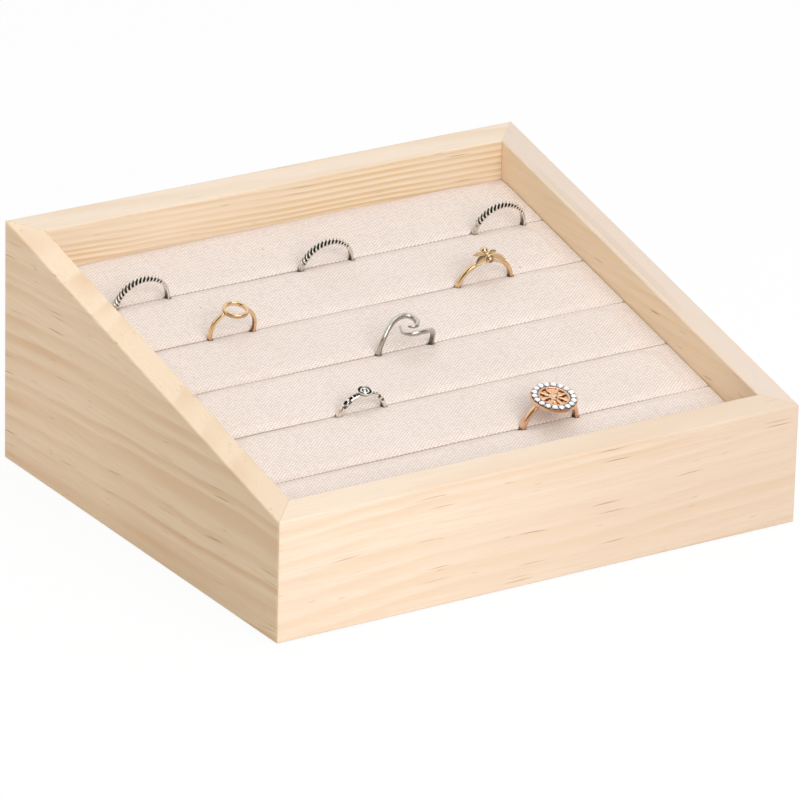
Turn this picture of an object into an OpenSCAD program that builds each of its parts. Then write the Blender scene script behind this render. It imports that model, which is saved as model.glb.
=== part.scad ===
// Sloped pine ring display box: a mitred case, a sloping shelf and a lift-out insert of
// linen-covered foam rolls that hold rings upright in the slots between them.
// Origin: middle of the underside. +X is the viewer's right, +Y the back, +Z up.

/* [Case] */
// Overall width, left to right
case_w = 180; // [175:1:240]
// Overall depth, front to back
case_d = 157.5; // [150:0.5:200]
// Height of the front face
front_h = 37.5; // [36:0.5:50]
// Height of the back face
back_h = 76.5; // [65:0.5:95]
// Thickness of the four boards
board_t = 9; // [8:0.5:10]
// Radius of the softened board edges
arris_r = 0.6; // [0.3:0.1:1.2]

/* [Bottom and shelf] */
// Thickness of the bottom panel
bottom_t = 3; // [2:0.5:3.5]
// How far the bottom panel is set up from the underside
bottom_recess = 0.4; // [0.1:0.1:0.6]
// Width of the rebate that the bottom panel seats in
rebate_w = 4.5; // [3.5:0.5:6]
// Clearance all round the bottom panel and the shelf
panel_fit = 0.2; // [0.1:0.05:0.4]
// Thickness of the sloping shelf
shelf_t = 3; // [2:0.5:3.5]
// Width of the two cleats under the shelf
cleat_w = 8; // [5:0.5:14]
// Depth of the cleats below the shelf
cleat_h = 8; // [5:0.5:12]
// Diameter of a brad's shank
brad_d = 1.2; // [1:0.1:1.6]
// Length of a brad's shank
brad_len = 11; // [8:0.5:14]
// Diameter of a brad's head
brad_head_d = 2.4; // [2:0.1:2.8]
// Thickness of a brad's head
brad_head_t = 0.5; // [0.4:0.1:0.8]
// Play round a brad in its hole
brad_fit = 0.03; // [0.02:0.01:0.08]
// Distance of the outer brads from the case's corners
brad_inset = 24; // [16:1:32]

/* [Insert] */
// Depth of the pad below the rim, square to the slope
pad_drop = 11.5; // [10:0.5:13]
// Spacing of the slots between the rolls
roll_pitch = 23.5; // [18:0.5:24]
// Height of a roll
roll_h = 16; // [14:0.5:17]
// Radius of a roll's top edges
roll_r = 0.8; // [0.6:0.1:2.4]
// Thickness of the linen cover
cover_t = 0.8; // [0.5:0.1:0.9]
// Width of the slot between two rolls
slot_w = 0.4; // [0.2:0.1:0.8]
// Thickness of the board that the rolls are glued to
base_t = 2; // [1.5:0.5:3]
// Clearance between the insert and the boards
insert_fit = 0.4; // [0.2:0.1:0.8]
// Room round a ring's shank, where it presses into the foam
ring_fit = 0.3; // [0.2:0.05:0.5]

/* [Rope rings] */
// Bore of the three rope-edged rings
rope_bore = 17; // [15.5:0.1:17.9]
// Thickness of their shank
rope_t = 1.2; // [1:0.1:1.8]
// Width of their shank
rope_w = 1.9; // [1.6:0.1:3]
// Height of the slanted ridges over the shank
ridge_h = 0.8; // [0.2:0.1:0.8]
// Number of slanted ridges over the top of a ring
ridge_count = 15; // [9:1:16]
// Arc that the ridges cover
ridge_arc = 118; // [100:1:130]
// Slot that the rope rings stand in, counted from the front
rope_slot = 5; // [1:1:5]
// Place of the left rope ring along its slot from the middle, in percent of the slot
rope_left_along = -38.3; // [-39.5:0.1:-34]
// Height of the left rope ring's middle over the pad
rope_left_rise = -1.1; // [-2:0.1:1]
// Turn of the left rope ring's ridges to the left
rope_left_turn = 20; // [0:1:40]
// Place of the middle rope ring along its slot from the middle, in percent of the slot
rope_middle_along = 1.5; // [-4:0.1:6]
// Height of the middle rope ring's middle over the pad
rope_middle_rise = -1.2; // [-2:0.1:1]
// Turn of the middle rope ring's ridges to the left
rope_middle_turn = 12; // [0:1:40]
// Place of the right rope ring along its slot from the middle, in percent of the slot
rope_right_along = 39.8; // [34:0.1:40]
// Height of the right rope ring's middle over the pad
rope_right_rise = -0.6; // [-2:0.1:1]
// Turn of the right rope ring's ridges to the left
rope_right_turn = 4; // [0:1:40]

/* [Circle ring] */
// Bore of the ring with the open circle
circle_bore = 14.1; // [13.5:0.1:16]
// Thickness of its shank
circle_t = 1.2; // [1:0.1:1.6]
// Width of its shank
circle_w = 1.4; // [1.2:0.1:2.2]
// Outer diameter of the open circle
circle_d = 8; // [7:0.1:8.6]
// Wall of the open circle
circle_wall = 1.1; // [0.8:0.1:1.4]
// Height of the open circle
circle_h = 1.4; // [1.2:0.1:1.8]
// Slot that this ring stands in, counted from the front
circle_slot = 4; // [1:1:4]
// Place of this ring along its slot from the middle, in percent of the slot
circle_along = -27.5; // [-31:0.1:-22]
// Height of this ring's middle over the pad
circle_rise = 1.4; // [0:0.1:2]

/* [Flower ring] */
// Bore of the flower ring
flower_bore = 17.9; // [16:0.1:17.9]
// Thickness of its shank
flower_t = 1.5; // [1:0.1:1.8]
// Width of its shank
flower_w = 1.7; // [1.4:0.1:2.6]
// Length of the closed flower, across the ring
flower_len = 4.4; // [3.6:0.1:5]
// Diameter of the closed flower
flower_d = 2.6; // [2.2:0.1:3]
// Length of the two long leaves beside the flower
leaf_len = 5.6; // [4.5:0.1:6]
// Turn of the flower to the left of the ring's top
flower_lean = 3; // [-4:1:12]
// Turn of the flower on its own foot
flower_turn = 4; // [0:1:24]
// Slot that this ring stands in, counted from the front
flower_slot = 4; // [1:1:4]
// Place of this ring along its slot from the middle, in percent of the slot
flower_along = 27.5; // [23:0.1:31]
// Height of this ring's middle over the pad
flower_rise = -2; // [-3:0.1:1]

/* [Wave ring] */
// Bore of the wave ring
wave_bore = 17.2; // [16:0.1:17.9]
// Diameter of the wave ring's wire
wave_d = 1.5; // [1.2:0.1:1.9]
// Reach of the crest up the slope
crest = 3.4; // [2.8:0.1:4]
// Reach of the trough down the slope
trough = 5.8; // [5.4:0.1:6.4]
// Slot that this ring stands in, counted from the front
wave_slot = 3; // [1:1:4]
// Place of this ring along its slot from the middle, in percent of the slot
wave_along = 1.2; // [-4:0.1:6]
// Height of this ring's middle over the pad
wave_rise = 0.2; // [-1:0.1:2]

/* [Target ring] */
// Bore of the ring with the ringed boss
target_bore = 14.9; // [13.5:0.1:16]
// Thickness of its shank
target_t = 1.3; // [1:0.1:1.6]
// Width of its shank
target_w = 1.8; // [1.5:0.1:2.6]
// Diameter of the ringed boss
boss_d = 4.8; // [4.4:0.1:5.8]
// Height of the ringed boss
boss_h = 0.6; // [0.5:0.1:1]
// Length of the pointed loop on each shoulder
loop_len = 3.2; // [2.4:0.1:3.6]
// Side of the square pockets between the boss and the loops
pocket_w = 0.9; // [0.7:0.1:1]
// Slot that this ring stands in, counted from the front
target_slot = 2; // [1:1:4]
// Place of this ring along its slot from the middle, in percent of the slot
target_along = -17; // [-21:0.1:-12]
// Height of this ring's middle over the pad
target_rise = -2.4; // [-3:0.1:1]

/* [Halo ring] */
// Bore of the halo ring
halo_bore = 17.2; // [15:0.1:17.9]
// Thickness of its shank
halo_t = 1.5; // [1.3:0.1:2]
// Width of its shank
halo_w = 2; // [1.6:0.1:2.8]
// Outer diameter of the halo setting
halo_d = 14.3; // [13.8:0.1:16]
// Height of the halo setting
halo_h = 1.3; // [1.3:0.1:2]
// Number of crystals in the halo
stone_count = 18; // [14:1:18]
// Diameter of a crystal
stone_d = 1.95; // [1.6:0.05:1.95]
// Thickness of the rosette inside the halo
rosette_t = 0.6; // [0.5:0.1:0.7]
// Number of openings in the rosette
rosette_rays = 8; // [6:1:10]
// Slot that this ring stands in, counted from the front
halo_slot = 1; // [1:1:4]
// Place of this ring along its slot from the middle, in percent of the slot
halo_along = 14.5; // [10:0.1:20]
// Height of this ring's middle over the pad
halo_rise = -1.2; // [-2.5:0.1:1]

/* [Hidden] */

$fn = 64;
pine = "#ecd3a8";
ply = "#d8bd92";
board_grey = "#a8a196";
foam_white = "#efece4";
linen = "#ead9cc";
silver = "#b9b6ae";
gold = "#d9a860";
steel = "#8d9096";
crystal = "#e9eef2";

roll_count = 6;
arc_steps = 4;       // flats that stand for a softened corner
solder = 0.02;       // hairline between two soldered pieces
slope = atan2(back_h - front_h, case_d);
far = 2 * (case_w + case_d + back_h);
inner_w = case_w - 2 * board_t;
rebate_h = bottom_recess + bottom_t;
roll_n = -pad_drop - roll_h;         // underside of the rolls, square to the slope
base_n = roll_n - base_t;            // underside of the insert
shelf_n = base_n - shelf_t;          // underside of the shelf

// Height of the rim at a place y from the middle
function rim_z(y) = front_h + (y + case_d / 2) * tan(slope);

// Place along the slope of an upright plane, q from the front face, at height n over the rim
function wall_s(q, n) = (q + n * sin(slope)) / cos(slope);

// Place along the slope of slot k, counted from the front
function slot_s(k) = wall_s(case_d / 2, -pad_drop) + (k - roll_count / 2) * roll_pitch;

function outer_r(bore, t) = bore / 2 + t;

// Place across the pad of a share of the slot's length, in percent from the middle
function along_slot(share) = inner_w * share / 100;

// Where each ring stands: across the pad, its slot, and its middle's height over the pad
rope_left = [along_slot(rope_left_along), rope_slot, rope_left_rise];
rope_middle = [along_slot(rope_middle_along), rope_slot, rope_middle_rise];
rope_right = [along_slot(rope_right_along), rope_slot, rope_right_rise];
circle_place = [along_slot(circle_along), circle_slot, circle_rise];
flower_place = [along_slot(flower_along), flower_slot, flower_rise];
wave_place = [along_slot(wave_along), wave_slot, wave_rise];
target_place = [along_slot(target_along), target_slot, target_rise];
halo_place = [along_slot(halo_along), halo_slot, halo_rise];

// What each ring presses into the pad: its place, outer radius and width
rope_r = outer_r(rope_bore, rope_t);
ring_seats = [
    [rope_left, rope_r + ridge_h, rope_w],
    [rope_middle, rope_r + ridge_h, rope_w],
    [rope_right, rope_r + ridge_h, rope_w],
    [circle_place, outer_r(circle_bore, circle_t), circle_w],
    [flower_place, outer_r(flower_bore, flower_t), flower_w],
    [wave_place, outer_r(wave_bore, wave_d), wave_d],
    [target_place, outer_r(target_bore, target_t), target_w],
    [halo_place, outer_r(halo_bore, halo_t), halo_w]
];

// ---- Outlines and frames ----

// Points of a rounded corner at p[i] with radius r
function corner(p, i, r) =
    let (
        count = len(p),
        back = p[(i + count - 1) % count] - p[i],
        on = p[(i + 1) % count] - p[i],
        u = back / norm(back),
        v = on / norm(on),
        half = acos(u * v) / 2,
        middle = p[i] + (u + v) / norm(u + v) * r / sin(half),
        start = p[i] + u * r / tan(half) - middle,
        turn = sign(-u.x * v.y + u.y * v.x) * (180 - 2 * half)
    )
    [for (k = [0 : arc_steps])
        let (a = turn * k / arc_steps)
        middle + [start.x * cos(a) - start.y * sin(a), start.x * sin(a) + start.y * cos(a)]];

// Outline with each corner rounded by its own radius, 0 for a sharp one
function soften(p, radii) =
    [for (i = [0 : len(p) - 1]) each (radii[i] > 0 ? corner(p, i, radii[i]) : [p[i]])];

// Extrudes a (y, z) outline from x0 to x1
module along_x(x0, x1) {
    translate([x0, 0, 0]) rotate([90, 0, 90]) linear_extrude(x1 - x0) children();
}

// Extrudes an (x, z) outline from y0 to y1
module along_y(y0, y1) {
    translate([0, y1, 0]) rotate([90, 0, 0]) linear_extrude(y1 - y0) children();
}

// Outline drawn in the slope's own axes: along the slope, and square to it
module slope_outline() {
    translate([-case_d / 2, front_h]) rotate(slope) children();
}

// Frame of the sloping rim: +X across, +Y up the slope, +Z square to it
module in_slope() {
    translate([0, -case_d / 2, front_h]) rotate([slope, 0, 0]) children();
}

// Frame of a ring standing in its slot: +Y out of the pad, +Z towards the front
module in_slot(place) {
    in_slope() translate([place[0], slot_s(place[1]), place[2] - pad_drop])
        rotate([90, 0, 0]) children();
}

// ---- Case ----

// Plan of one board between its two mitres, with the case's upright corners softened
module board_plan(corners) {
    linear_extrude(far) intersection() {
        polygon(corners);
        polygon(soften(
            [[-case_w, -case_d] / 2, [case_w, -case_d] / 2, [case_w, case_d] / 2, [-case_w, case_d] / 2],
            [arris_r, arris_r, arris_r, arris_r]));
    }
}

// Front (dir -1) or back (dir 1) board
module end_board(dir) {
    outer = dir * case_d / 2;
    inner = dir * (case_d / 2 - board_t);
    lip = inner + dir * rebate_w;
    section = [[outer, 0], [lip, 0], [lip, rebate_h], [inner, rebate_h],
               [inner, rim_z(inner)], [outer, rim_z(outer)]];
    color(pine) difference() {
        intersection() {
            along_x(-case_w / 2, case_w / 2)
                polygon(soften(section, [arris_r, 0, 0, 0, arris_r, arris_r]));
            board_plan([[-case_w / 2, outer], [case_w / 2, outer],
                        [inner_w / 2, inner], [-inner_w / 2, inner]]);
        }
        brad_holes();
    }
}

// Left (dir -1) or right (dir 1) board, whose top follows the slope
module side_board(dir) {
    outer = dir * case_w / 2;
    inner = dir * inner_w / 2;
    lip = inner + dir * rebate_w;
    color(pine) difference() {
        intersection() {
            board_plan([[outer, -case_d / 2], [inner, board_t - case_d / 2],
                        [inner, case_d / 2 - board_t], [outer, case_d / 2]]);
            in_slope() along_y(-far, far)
                polygon(soften([[outer, -far], [inner, -far], [inner, 0], [outer, 0]],
                               [0, 0, arris_r, arris_r]));
            along_y(-far, far)
                polygon(soften([[outer, 0], [lip, 0], [lip, rebate_h], [inner, rebate_h],
                                [inner, far], [outer, far]],
                               [arris_r, 0, 0, 0, 0, 0]));
        }
        brad_holes();
    }
}

// ---- Bottom, brads, shelf and cleats ----

module at_brads() {
    edge_x = inner_w / 2 + rebate_w / 2;
    edge_y = case_d / 2 - board_t + rebate_w / 2;
    for (side = [-1, 1], step = [-1, 0, 1])
        translate([step * (case_w / 2 - brad_inset), side * edge_y, bottom_recess]) children();
    for (side = [-1, 1], step = [-1, 1])
        translate([side * edge_x, step * (case_d / 2 - brad_inset), bottom_recess]) children();
}

// A brad with its head at z 0, or the hole for it when play is added
module brad(play) {
    translate([0, 0, -play]) {
        cylinder(d = brad_d + 2 * play, h = brad_head_t + brad_len + 2 * play);
        cylinder(d = brad_head_d + 2 * play, h = brad_head_t + 2 * play);
    }
}

module brad_holes() {
    at_brads() brad(brad_fit);
}

module bottom_brads() {
    color(steel) at_brads() brad(0);
}

module bottom_panel() {
    size = [inner_w, case_d - 2 * board_t] + 2 * (rebate_w - panel_fit) * [1, 1];
    color(ply) difference() {
        translate([-size.x / 2, -size.y / 2, bottom_recess]) cube([size.x, size.y, bottom_t]);
        brad_holes();
    }
}

// Sloping sheet between the boards, with upright ends
module slab(n, t, fit) {
    along_x(fit - inner_w / 2, inner_w / 2 - fit) slope_outline()
        polygon([for (q = [board_t + fit, case_d - board_t - fit]) [wall_s(q, n), n],
                 for (q = [case_d - board_t - fit, board_t + fit]) [wall_s(q, n + t), n + t]]);
}

module shelf() {
    color(ply) slab(shelf_n, shelf_t, panel_fit);
}

// Strip under the shelf on the left (dir -1) or right (dir 1) board, cut off at the bottom panel
module cleat(dir) {
    start = dir < 0 ? -inner_w / 2 : inner_w / 2 - cleat_w;
    color(pine) along_x(start, start + cleat_w) intersection() {
        slope_outline() polygon([
            [wall_s(board_t, shelf_n - cleat_h), shelf_n - cleat_h],
            [wall_s(case_d - board_t, shelf_n - cleat_h), shelf_n - cleat_h],
            [wall_s(case_d - board_t, shelf_n), shelf_n],
            [wall_s(board_t, shelf_n), shelf_n]]);
        translate([-case_d, rebate_h]) square([2 * case_d, back_h]);
    }
}

// ---- Insert ----

module insert_base() {
    color(board_grey) slab(base_n, base_t, insert_fit);
}

// Outline of the space round a ring's shank: half a circle, open upwards
function seat_outline(r) =
    [[r, far], [-r, far], for (a = [180 : 10 : 360]) r * [cos(a), sin(a)]];

// Spaces that the ring shanks beside roll i press into it, grown by the cover that lines them
module ring_spaces(i, lining) {
    for (seat = ring_seats) if (seat[0][1] == i || seat[0][1] == i - 1)
        in_slot(seat[0]) linear_extrude(seat[2] + 2 * (ring_fit + lining), center = true)
            polygon(seat_outline(seat[1] + ring_fit + lining));
}

// Roll i, counted from the front, shrunk by a skin. The end rolls press against the boards,
// so their outer faces are upright. deeper lengthens it below its underside.
module roll_form(i, skin, deeper) {
    low = roll_n - deeper;
    top = -pad_drop - skin;
    front_q = board_t + insert_fit + skin;
    back_q = case_d - board_t - insert_fit - skin;
    front = [for (n = [low, top])
        i == 1 ? wall_s(front_q, n) : slot_s(i - 1) + slot_w / 2 + skin];
    back = [for (n = [low, top])
        i == roll_count ? wall_s(back_q, n) : slot_s(i) - slot_w / 2 - skin];
    half_w = inner_w / 2 - insert_fit - skin;
    difference() {
        along_x(-half_w, half_w) slope_outline()
            polygon(soften([[front[0], low], [back[0], low], [back[1], top], [front[1], top]],
                           [0, 0, roll_r - skin, roll_r - skin]));
        ring_spaces(i, skin);
    }
}

module foam_roll(i) {
    color(foam_white) roll_form(i, cover_t, 0);
}

module linen_cover(i) {
    color(linen) difference() {
        roll_form(i, 0, 0);
        roll_form(i, cover_t, 1);
    }
}

// ---- Rings, each drawn round its own middle: +Y out of the pad, +Z towards the front ----

// Plain shank: flat inside, domed outside, with short upright sides
module shank(bore, t, w) {
    dome_h = t * 0.45;
    dome_r = (w * w / 4 + dome_h * dome_h) / (2 * dome_h);
    rotate_extrude() intersection() {
        translate([bore / 2, -w / 2]) square([t, w]);
        translate([bore / 2 + t - dome_r, 0]) circle(dome_r);
    }
}

// Bearings of the rope ring's cross-sections from its top: close under the ridges, wide elsewhere
ridge_steps = 8;
plain_steps = 26;
ridge_slant = 0.7;   // share of a ridge that its slant crosses
ridge_dome = 0.35;   // share of the thickness that the edges fall by
rope_turns = concat(
    [for (k = [0 : ridge_steps * ridge_count]) ridge_arc * (k / (ridge_steps * ridge_count) - 0.5)],
    [for (k = [1 : plain_steps - 1]) ridge_arc / 2 + (360 - ridge_arc) * k / plain_steps]);

// Cross-section of the rope ring at a bearing: [radius, place across the shank]. A ridge is a
// slanted bar with a round top, and between two bars the shank shows at the bottom of the gap.
function rope_section(turn) =
    let (ridged = abs(turn) <= ridge_arc / 2)
    [for (across = [-1, 1]) [rope_bore / 2, across * rope_w / 2],
     for (across = [1, 0.7, 0.35, 0, -0.35, -0.7, -1])
        let (
            dome = rope_t * (1 - ridge_dome * across * across),
            phase = 180 * (ridge_count * (turn / ridge_arc + 0.5) + ridge_slant * across)
        )
        [rope_bore / 2 + dome + (ridged ? ridge_h * pow(abs(sin(phase)), 1.5) : 0),
         across * rope_w / 2]];

// Closed band through one cross-section after another, all with as many points
module looped_band(sections) {
    rows = len(sections);
    cols = len(sections[0]);
    polyhedron(
        points = [for (row = sections) each row],
        faces = [for (k = [0 : rows - 1], j = [0 : cols - 1])
            let (k2 = (k + 1) % rows, j2 = (j + 1) % cols)
            [k * cols + j, k * cols + j2, k2 * cols + j2, k2 * cols + j]]);
}

module rope_ring() {
    color(silver) looped_band([for (turn = rope_turns)
        [for (p = rope_section(turn)) [p.x * sin(turn), p.x * cos(turn), p.y]]]);
}

// Upright axis of a ring's head
module head_axis(y) {
    translate([0, y, 0]) rotate([-90, 0, 0]) children();
}

// Foot of the open circle, halfway up the ends of the shank
circle_foot = sqrt(pow(circle_bore / 2, 2) - pow(circle_d / 2, 2)) + circle_t / 2;

module circle_ring_shank() {
    color(gold) difference() {
        shank(circle_bore, circle_t, circle_w);
        head_axis(0) cylinder(d = circle_d + 2 * solder, h = far);
    }
}

module circle_ring_head() {
    color(gold) head_axis(circle_foot) difference() {
        cylinder(d = circle_d, h = circle_h);
        translate([0, 0, -1]) cylinder(d = circle_d - 2 * circle_wall, h = circle_h + 2);
    }
}

// Pointed oval blade, such as a petal or a leaf
module blade(len, wide, t) {
    arc_r = (len * len + wide * wide) / (4 * wide);
    linear_extrude(t) intersection_for(side = [-1, 1])
        translate([0, side * (arc_r - wide / 2)]) circle(arc_r);
}

// Clears a soldered head from the shank that it sits on
module shank_space(bore, t) {
    cylinder(r = outer_r(bore, t) + solder, h = far, center = true);
}

module flower_ring_shank() {
    color(gold) shank(flower_bore, flower_t, flower_w);
}

// Outline of the closed flower, [radius, place along it]: a pointed tip, three ribs and a neck
bud_r = flower_d / 2;
bud_tilt = 8;            // lift of the neck off the shank
rib_depth = 0.2;
rib_count = 3;
neck_y = 0.32 * flower_len;
bud_outline = concat(
    [[0, -0.62 * flower_len], [0.5 * bud_r, -0.5 * flower_len]],
    [for (k = [1 : rib_count])
        let (low = (0.22 * k - 0.62) * flower_len, r = bud_r * (0.7 + 0.1 * k))
        each [[r - rib_depth, low], [r, low + 0.06 * flower_len], [r, low + 0.16 * flower_len]]],
    [[0.45 * bud_r, neck_y], [0, neck_y + solder]]);

// Frame of the flower's foot: +X and +Y over the shank, +Y along the flower, +Z outwards
module at_flower() {
    rotate(flower_lean) head_axis(outer_r(flower_bore, flower_t)) rotate(-flower_turn)
        children();
}

// Axis of the closed flower, lying across the shank
module bud_axis() {
    at_flower() translate([0, 0, bud_r * 0.6]) rotate([bud_tilt - 90, 0, 0]) children();
}

// Closed flower with a round button at its neck
module flower_ring_flower() {
    button_d = flower_d * 0.8;
    color(gold) difference() {
        bud_axis() {
            rotate_extrude() polygon(bud_outline);
            translate([0, 0, neck_y + button_d / 3]) sphere(d = button_d);
        }
        shank_space(flower_bore, flower_t);
    }
}

// Frame of a leaf that starts in the flower and points to the side dir, turned by sweep
// towards the neck, with its upper edge raised and its tip drooping
module leaf_frame(dir, sweep) {
    roll = 20;
    droop = 9;
    mirror([dir < 0 ? 1 : 0, 0, 0]) translate([0, 0, bud_r * 0.7]) rotate(sweep)
        rotate([roll, 0, 0]) rotate([0, droop, 0]) children();
}

// A long leaf and a short one on each side of the flower
module flower_ring_leaves() {
    leaf_t = 0.6;
    short_len = leaf_len * 0.75;
    color(gold) for (dir = [-1, 1]) difference() {
        at_flower() {
            leaf_frame(dir, -30) translate([leaf_len / 2, 0, -leaf_t / 2])
                blade(leaf_len, leaf_len * 0.42, leaf_t);
            leaf_frame(dir, 21) translate([short_len / 2, 0, -leaf_t / 2])
                blade(short_len, short_len * 0.42, leaf_t);
        }
        shank_space(flower_bore, flower_t);
        bud_axis() cylinder(r = bud_r + solder, h = far, center = true);
    }
}

// Smooth line through points, with an equal number of steps between each two
function spline(p, steps) =
    let (last = len(p) - 1)
    concat([for (i = [0 : last - 1], k = [0 : steps - 1])
        let (
            t = k / steps,
            a = p[max(i - 1, 0)],
            b = p[i],
            c = p[i + 1],
            d = p[min(i + 2, last)]
        )
        b + ((c - a) * t + (2 * a - 5 * b + 4 * c - d) * t * t
             + (3 * b - a - 3 * c + d) * t * t * t) / 2],
        [p[last]]);

// Route of the wave ring's wire: [bearing from the top, place up the slope]
wave_route = spline([
    [-22, -0.02 * trough], [-27, -0.5 * trough], [-19, -0.88 * trough], [-6, -trough],
    [10, -0.98 * trough], [26, -0.82 * trough], [45, -0.5 * trough], [68, -0.15 * trough],
    [90, 0], [135, 0], [180, 0], [225, 0], [270, 0],
    [300, 0.15 * crest], [319, 0.5 * crest], [336, 0.85 * crest], [353, crest],
    [367, 0.9 * crest], [375, 0.45 * crest], [374, -0.15 * crest], [366, -0.65 * crest],
    [357, -0.78 * crest], [349, -0.55 * crest]
], 3);

module wave_ring() {
    wire_r = wave_d / 2;
    mid_r = wave_bore / 2 + wire_r;
    sides = 8;
    taper = 7;           // rows at each end that thin towards a blunt tip
    last = len(wave_route) - 1;
    line = [for (p = wave_route) [mid_r * sin(p[0]), mid_r * cos(p[0]), -p[1]]];
    rows = [for (k = [0 : last])
        let (
            ahead = line[min(k + 1, last)] - line[max(k - 1, 0)],
            along = ahead / norm(ahead),
            out = [line[k].x, line[k].y, 0] / mid_r,
            lift = out - (out * along) * along,
            up = lift / norm(lift),
            side = cross(along, up),
            r = wire_r * (0.5 + 0.5 * min(1, k / taper, (last - k) / taper))
        )
        [for (j = [0 : sides - 1])
            line[k] + r * (cos(360 * j / sides) * up + sin(360 * j / sides) * side)]];
    color(silver) polyhedron(
        points = [for (row = rows) each row],
        faces = concat(
            [[for (j = [0 : sides - 1]) j]],
            [[for (j = [sides - 1 : -1 : 0]) last * sides + j]],
            [for (k = [0 : last - 1], j = [0 : sides - 1])
                let (j2 = (j + 1) % sides)
                [k * sides + j, (k + 1) * sides + j, (k + 1) * sides + j2, k * sides + j2]]));
}

// Both shoulders of the target ring, a way round its surface from the edge of the boss
module at_shoulders(way) {
    r = outer_r(target_bore, target_t);
    for (side = [-1, 1])
        rotate(side * (boss_d / 2 + way) / r * 180 / PI) head_axis(r) children();
}

// Shank with two square pockets and a pointed loop on each shoulder
module target_ring_shank() {
    pocket_depth = 0.4;
    loop_rise = 0.15;
    loop_sink = 0.5;
    loop_wall = 0.35;
    bar_w = 0.5;         // metal between the pockets and the loop
    loop_way = 2 * (pocket_w + bar_w) + loop_len / 2;
    hollow = [loop_len - 3 * loop_wall, target_w - 2 * loop_wall];
    color(silver) difference() {
        union() {
            shank(target_bore, target_t, target_w);
            at_shoulders(loop_way) translate([0, 0, -loop_sink])
                blade(loop_len, target_w, loop_sink + loop_rise);
        }
        for (k = [0, 1]) at_shoulders(bar_w + pocket_w / 2 + k * (pocket_w + bar_w))
            translate([-pocket_w / 2, -pocket_w / 2, -pocket_depth])
                cube([pocket_w, pocket_w, far]);
        at_shoulders(loop_way) translate([0, 0, -pocket_depth])
            blade(hollow[0], hollow[1], far);
    }
}

// Boss with a rim, a ring and a bead, one inside the other
module target_ring_boss() {
    r = boss_d / 2;
    groove = 0.35;
    skirt = 0.6;
    foot = 0.7;          // all as shares of the boss's radius
    rim_in = 0.82;
    ring_out = 0.58;
    ring_in = 0.4;
    bead_out = 0.22;
    bead_top = 0.1;
    low = boss_h - groove;
    color(silver) difference() {
        head_axis(outer_r(target_bore, target_t)) rotate_extrude() polygon([
            [0, -skirt], [foot * r, -skirt], [r, boss_h - 1.2 * groove], [r, boss_h],
            [rim_in * r, boss_h], [rim_in * r, low], [ring_out * r, low],
            [ring_out * r, boss_h], [ring_in * r, boss_h], [ring_in * r, low],
            [bead_out * r, low], [bead_out * r, boss_h], [0, boss_h + bead_top]]);
        shank_space(target_bore, target_t);
    }
}

// The halo's plate lies just outside the bore, on the shank's flattened top
halo_floor = 0.3;    // metal left over the bore
halo_edge = 0.25;    // metal round the crystals
ledge_w = 0.7;
halo_y = halo_bore / 2 + halo_floor;
halo_open_r = halo_d / 2 - stone_d - 2 * halo_edge;
halo_ledge_r = halo_open_r - ledge_w;
stone_ring_r = halo_d / 2 - halo_edge - stone_d / 2;
stone_depth = stone_d * 0.42;
stone_tip_r = 0.1;

module halo_ring_shank() {
    color(gold) difference() {
        shank(halo_bore, halo_t, halo_w);
        translate([-far / 2, halo_y, -far / 2]) cube(far);
    }
}

// Round the halo, at each crystal's middle and level with the plate's top
module at_stones() {
    head_axis(halo_y) for (k = [0 : stone_count - 1])
        rotate(360 * k / stone_count) translate([stone_ring_r, 0, halo_h]) children();
}

// Round plate with a conical seat for each crystal and a ledge for the rosette
module halo_ring_setting() {
    r = halo_d / 2;
    bevel = halo_edge / 2;
    color(gold) difference() {
        head_axis(halo_y) rotate_extrude() polygon([
            [halo_ledge_r, 0], [r - bevel, 0], [r, bevel], [r, halo_h - bevel],
            [r - bevel, halo_h], [halo_open_r, halo_h], [halo_open_r, halo_h - rosette_t],
            [halo_ledge_r, halo_h - rosette_t]]);
        at_stones() translate([0, 0, -stone_depth])
            cylinder(r1 = stone_tip_r + solder, r2 = stone_d / 2 + solder, h = stone_depth);
    }
}

// Pierced disc with a domed middle, seated on the ledge
module halo_ring_rosette() {
    r = halo_open_r - 2 * solder;
    boss_r = r * 0.24;
    boss_h = 0.4;
    ray_len = halo_ledge_r - boss_r;
    color(gold) head_axis(halo_y + halo_h - rosette_t) {
        difference() {
            cylinder(r = r, h = rosette_t);
            for (k = [1 : rosette_rays])
                rotate(360 * (k + 0.5) / rosette_rays)
                    translate([boss_r + ray_len / 2, 0, -1])
                    blade(ray_len, ray_len * 0.48, rosette_t + 2);
        }
        cylinder(r1 = 1.5 * boss_r, r2 = boss_r, h = rosette_t);
        translate([0, 0, rosette_t]) cylinder(r1 = boss_r, r2 = boss_r * 0.6, h = boss_h);
    }
}

module halo_ring_crystals() {
    color(crystal) at_stones() {
        translate([0, 0, -stone_depth])
            cylinder(r1 = stone_tip_r, r2 = stone_d / 2, h = stone_depth, $fn = 8);
        cylinder(d1 = stone_d, d2 = stone_d * 0.6, h = stone_d * 0.18, $fn = 8);
    }
}

// ---- What is drawn ----

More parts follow.
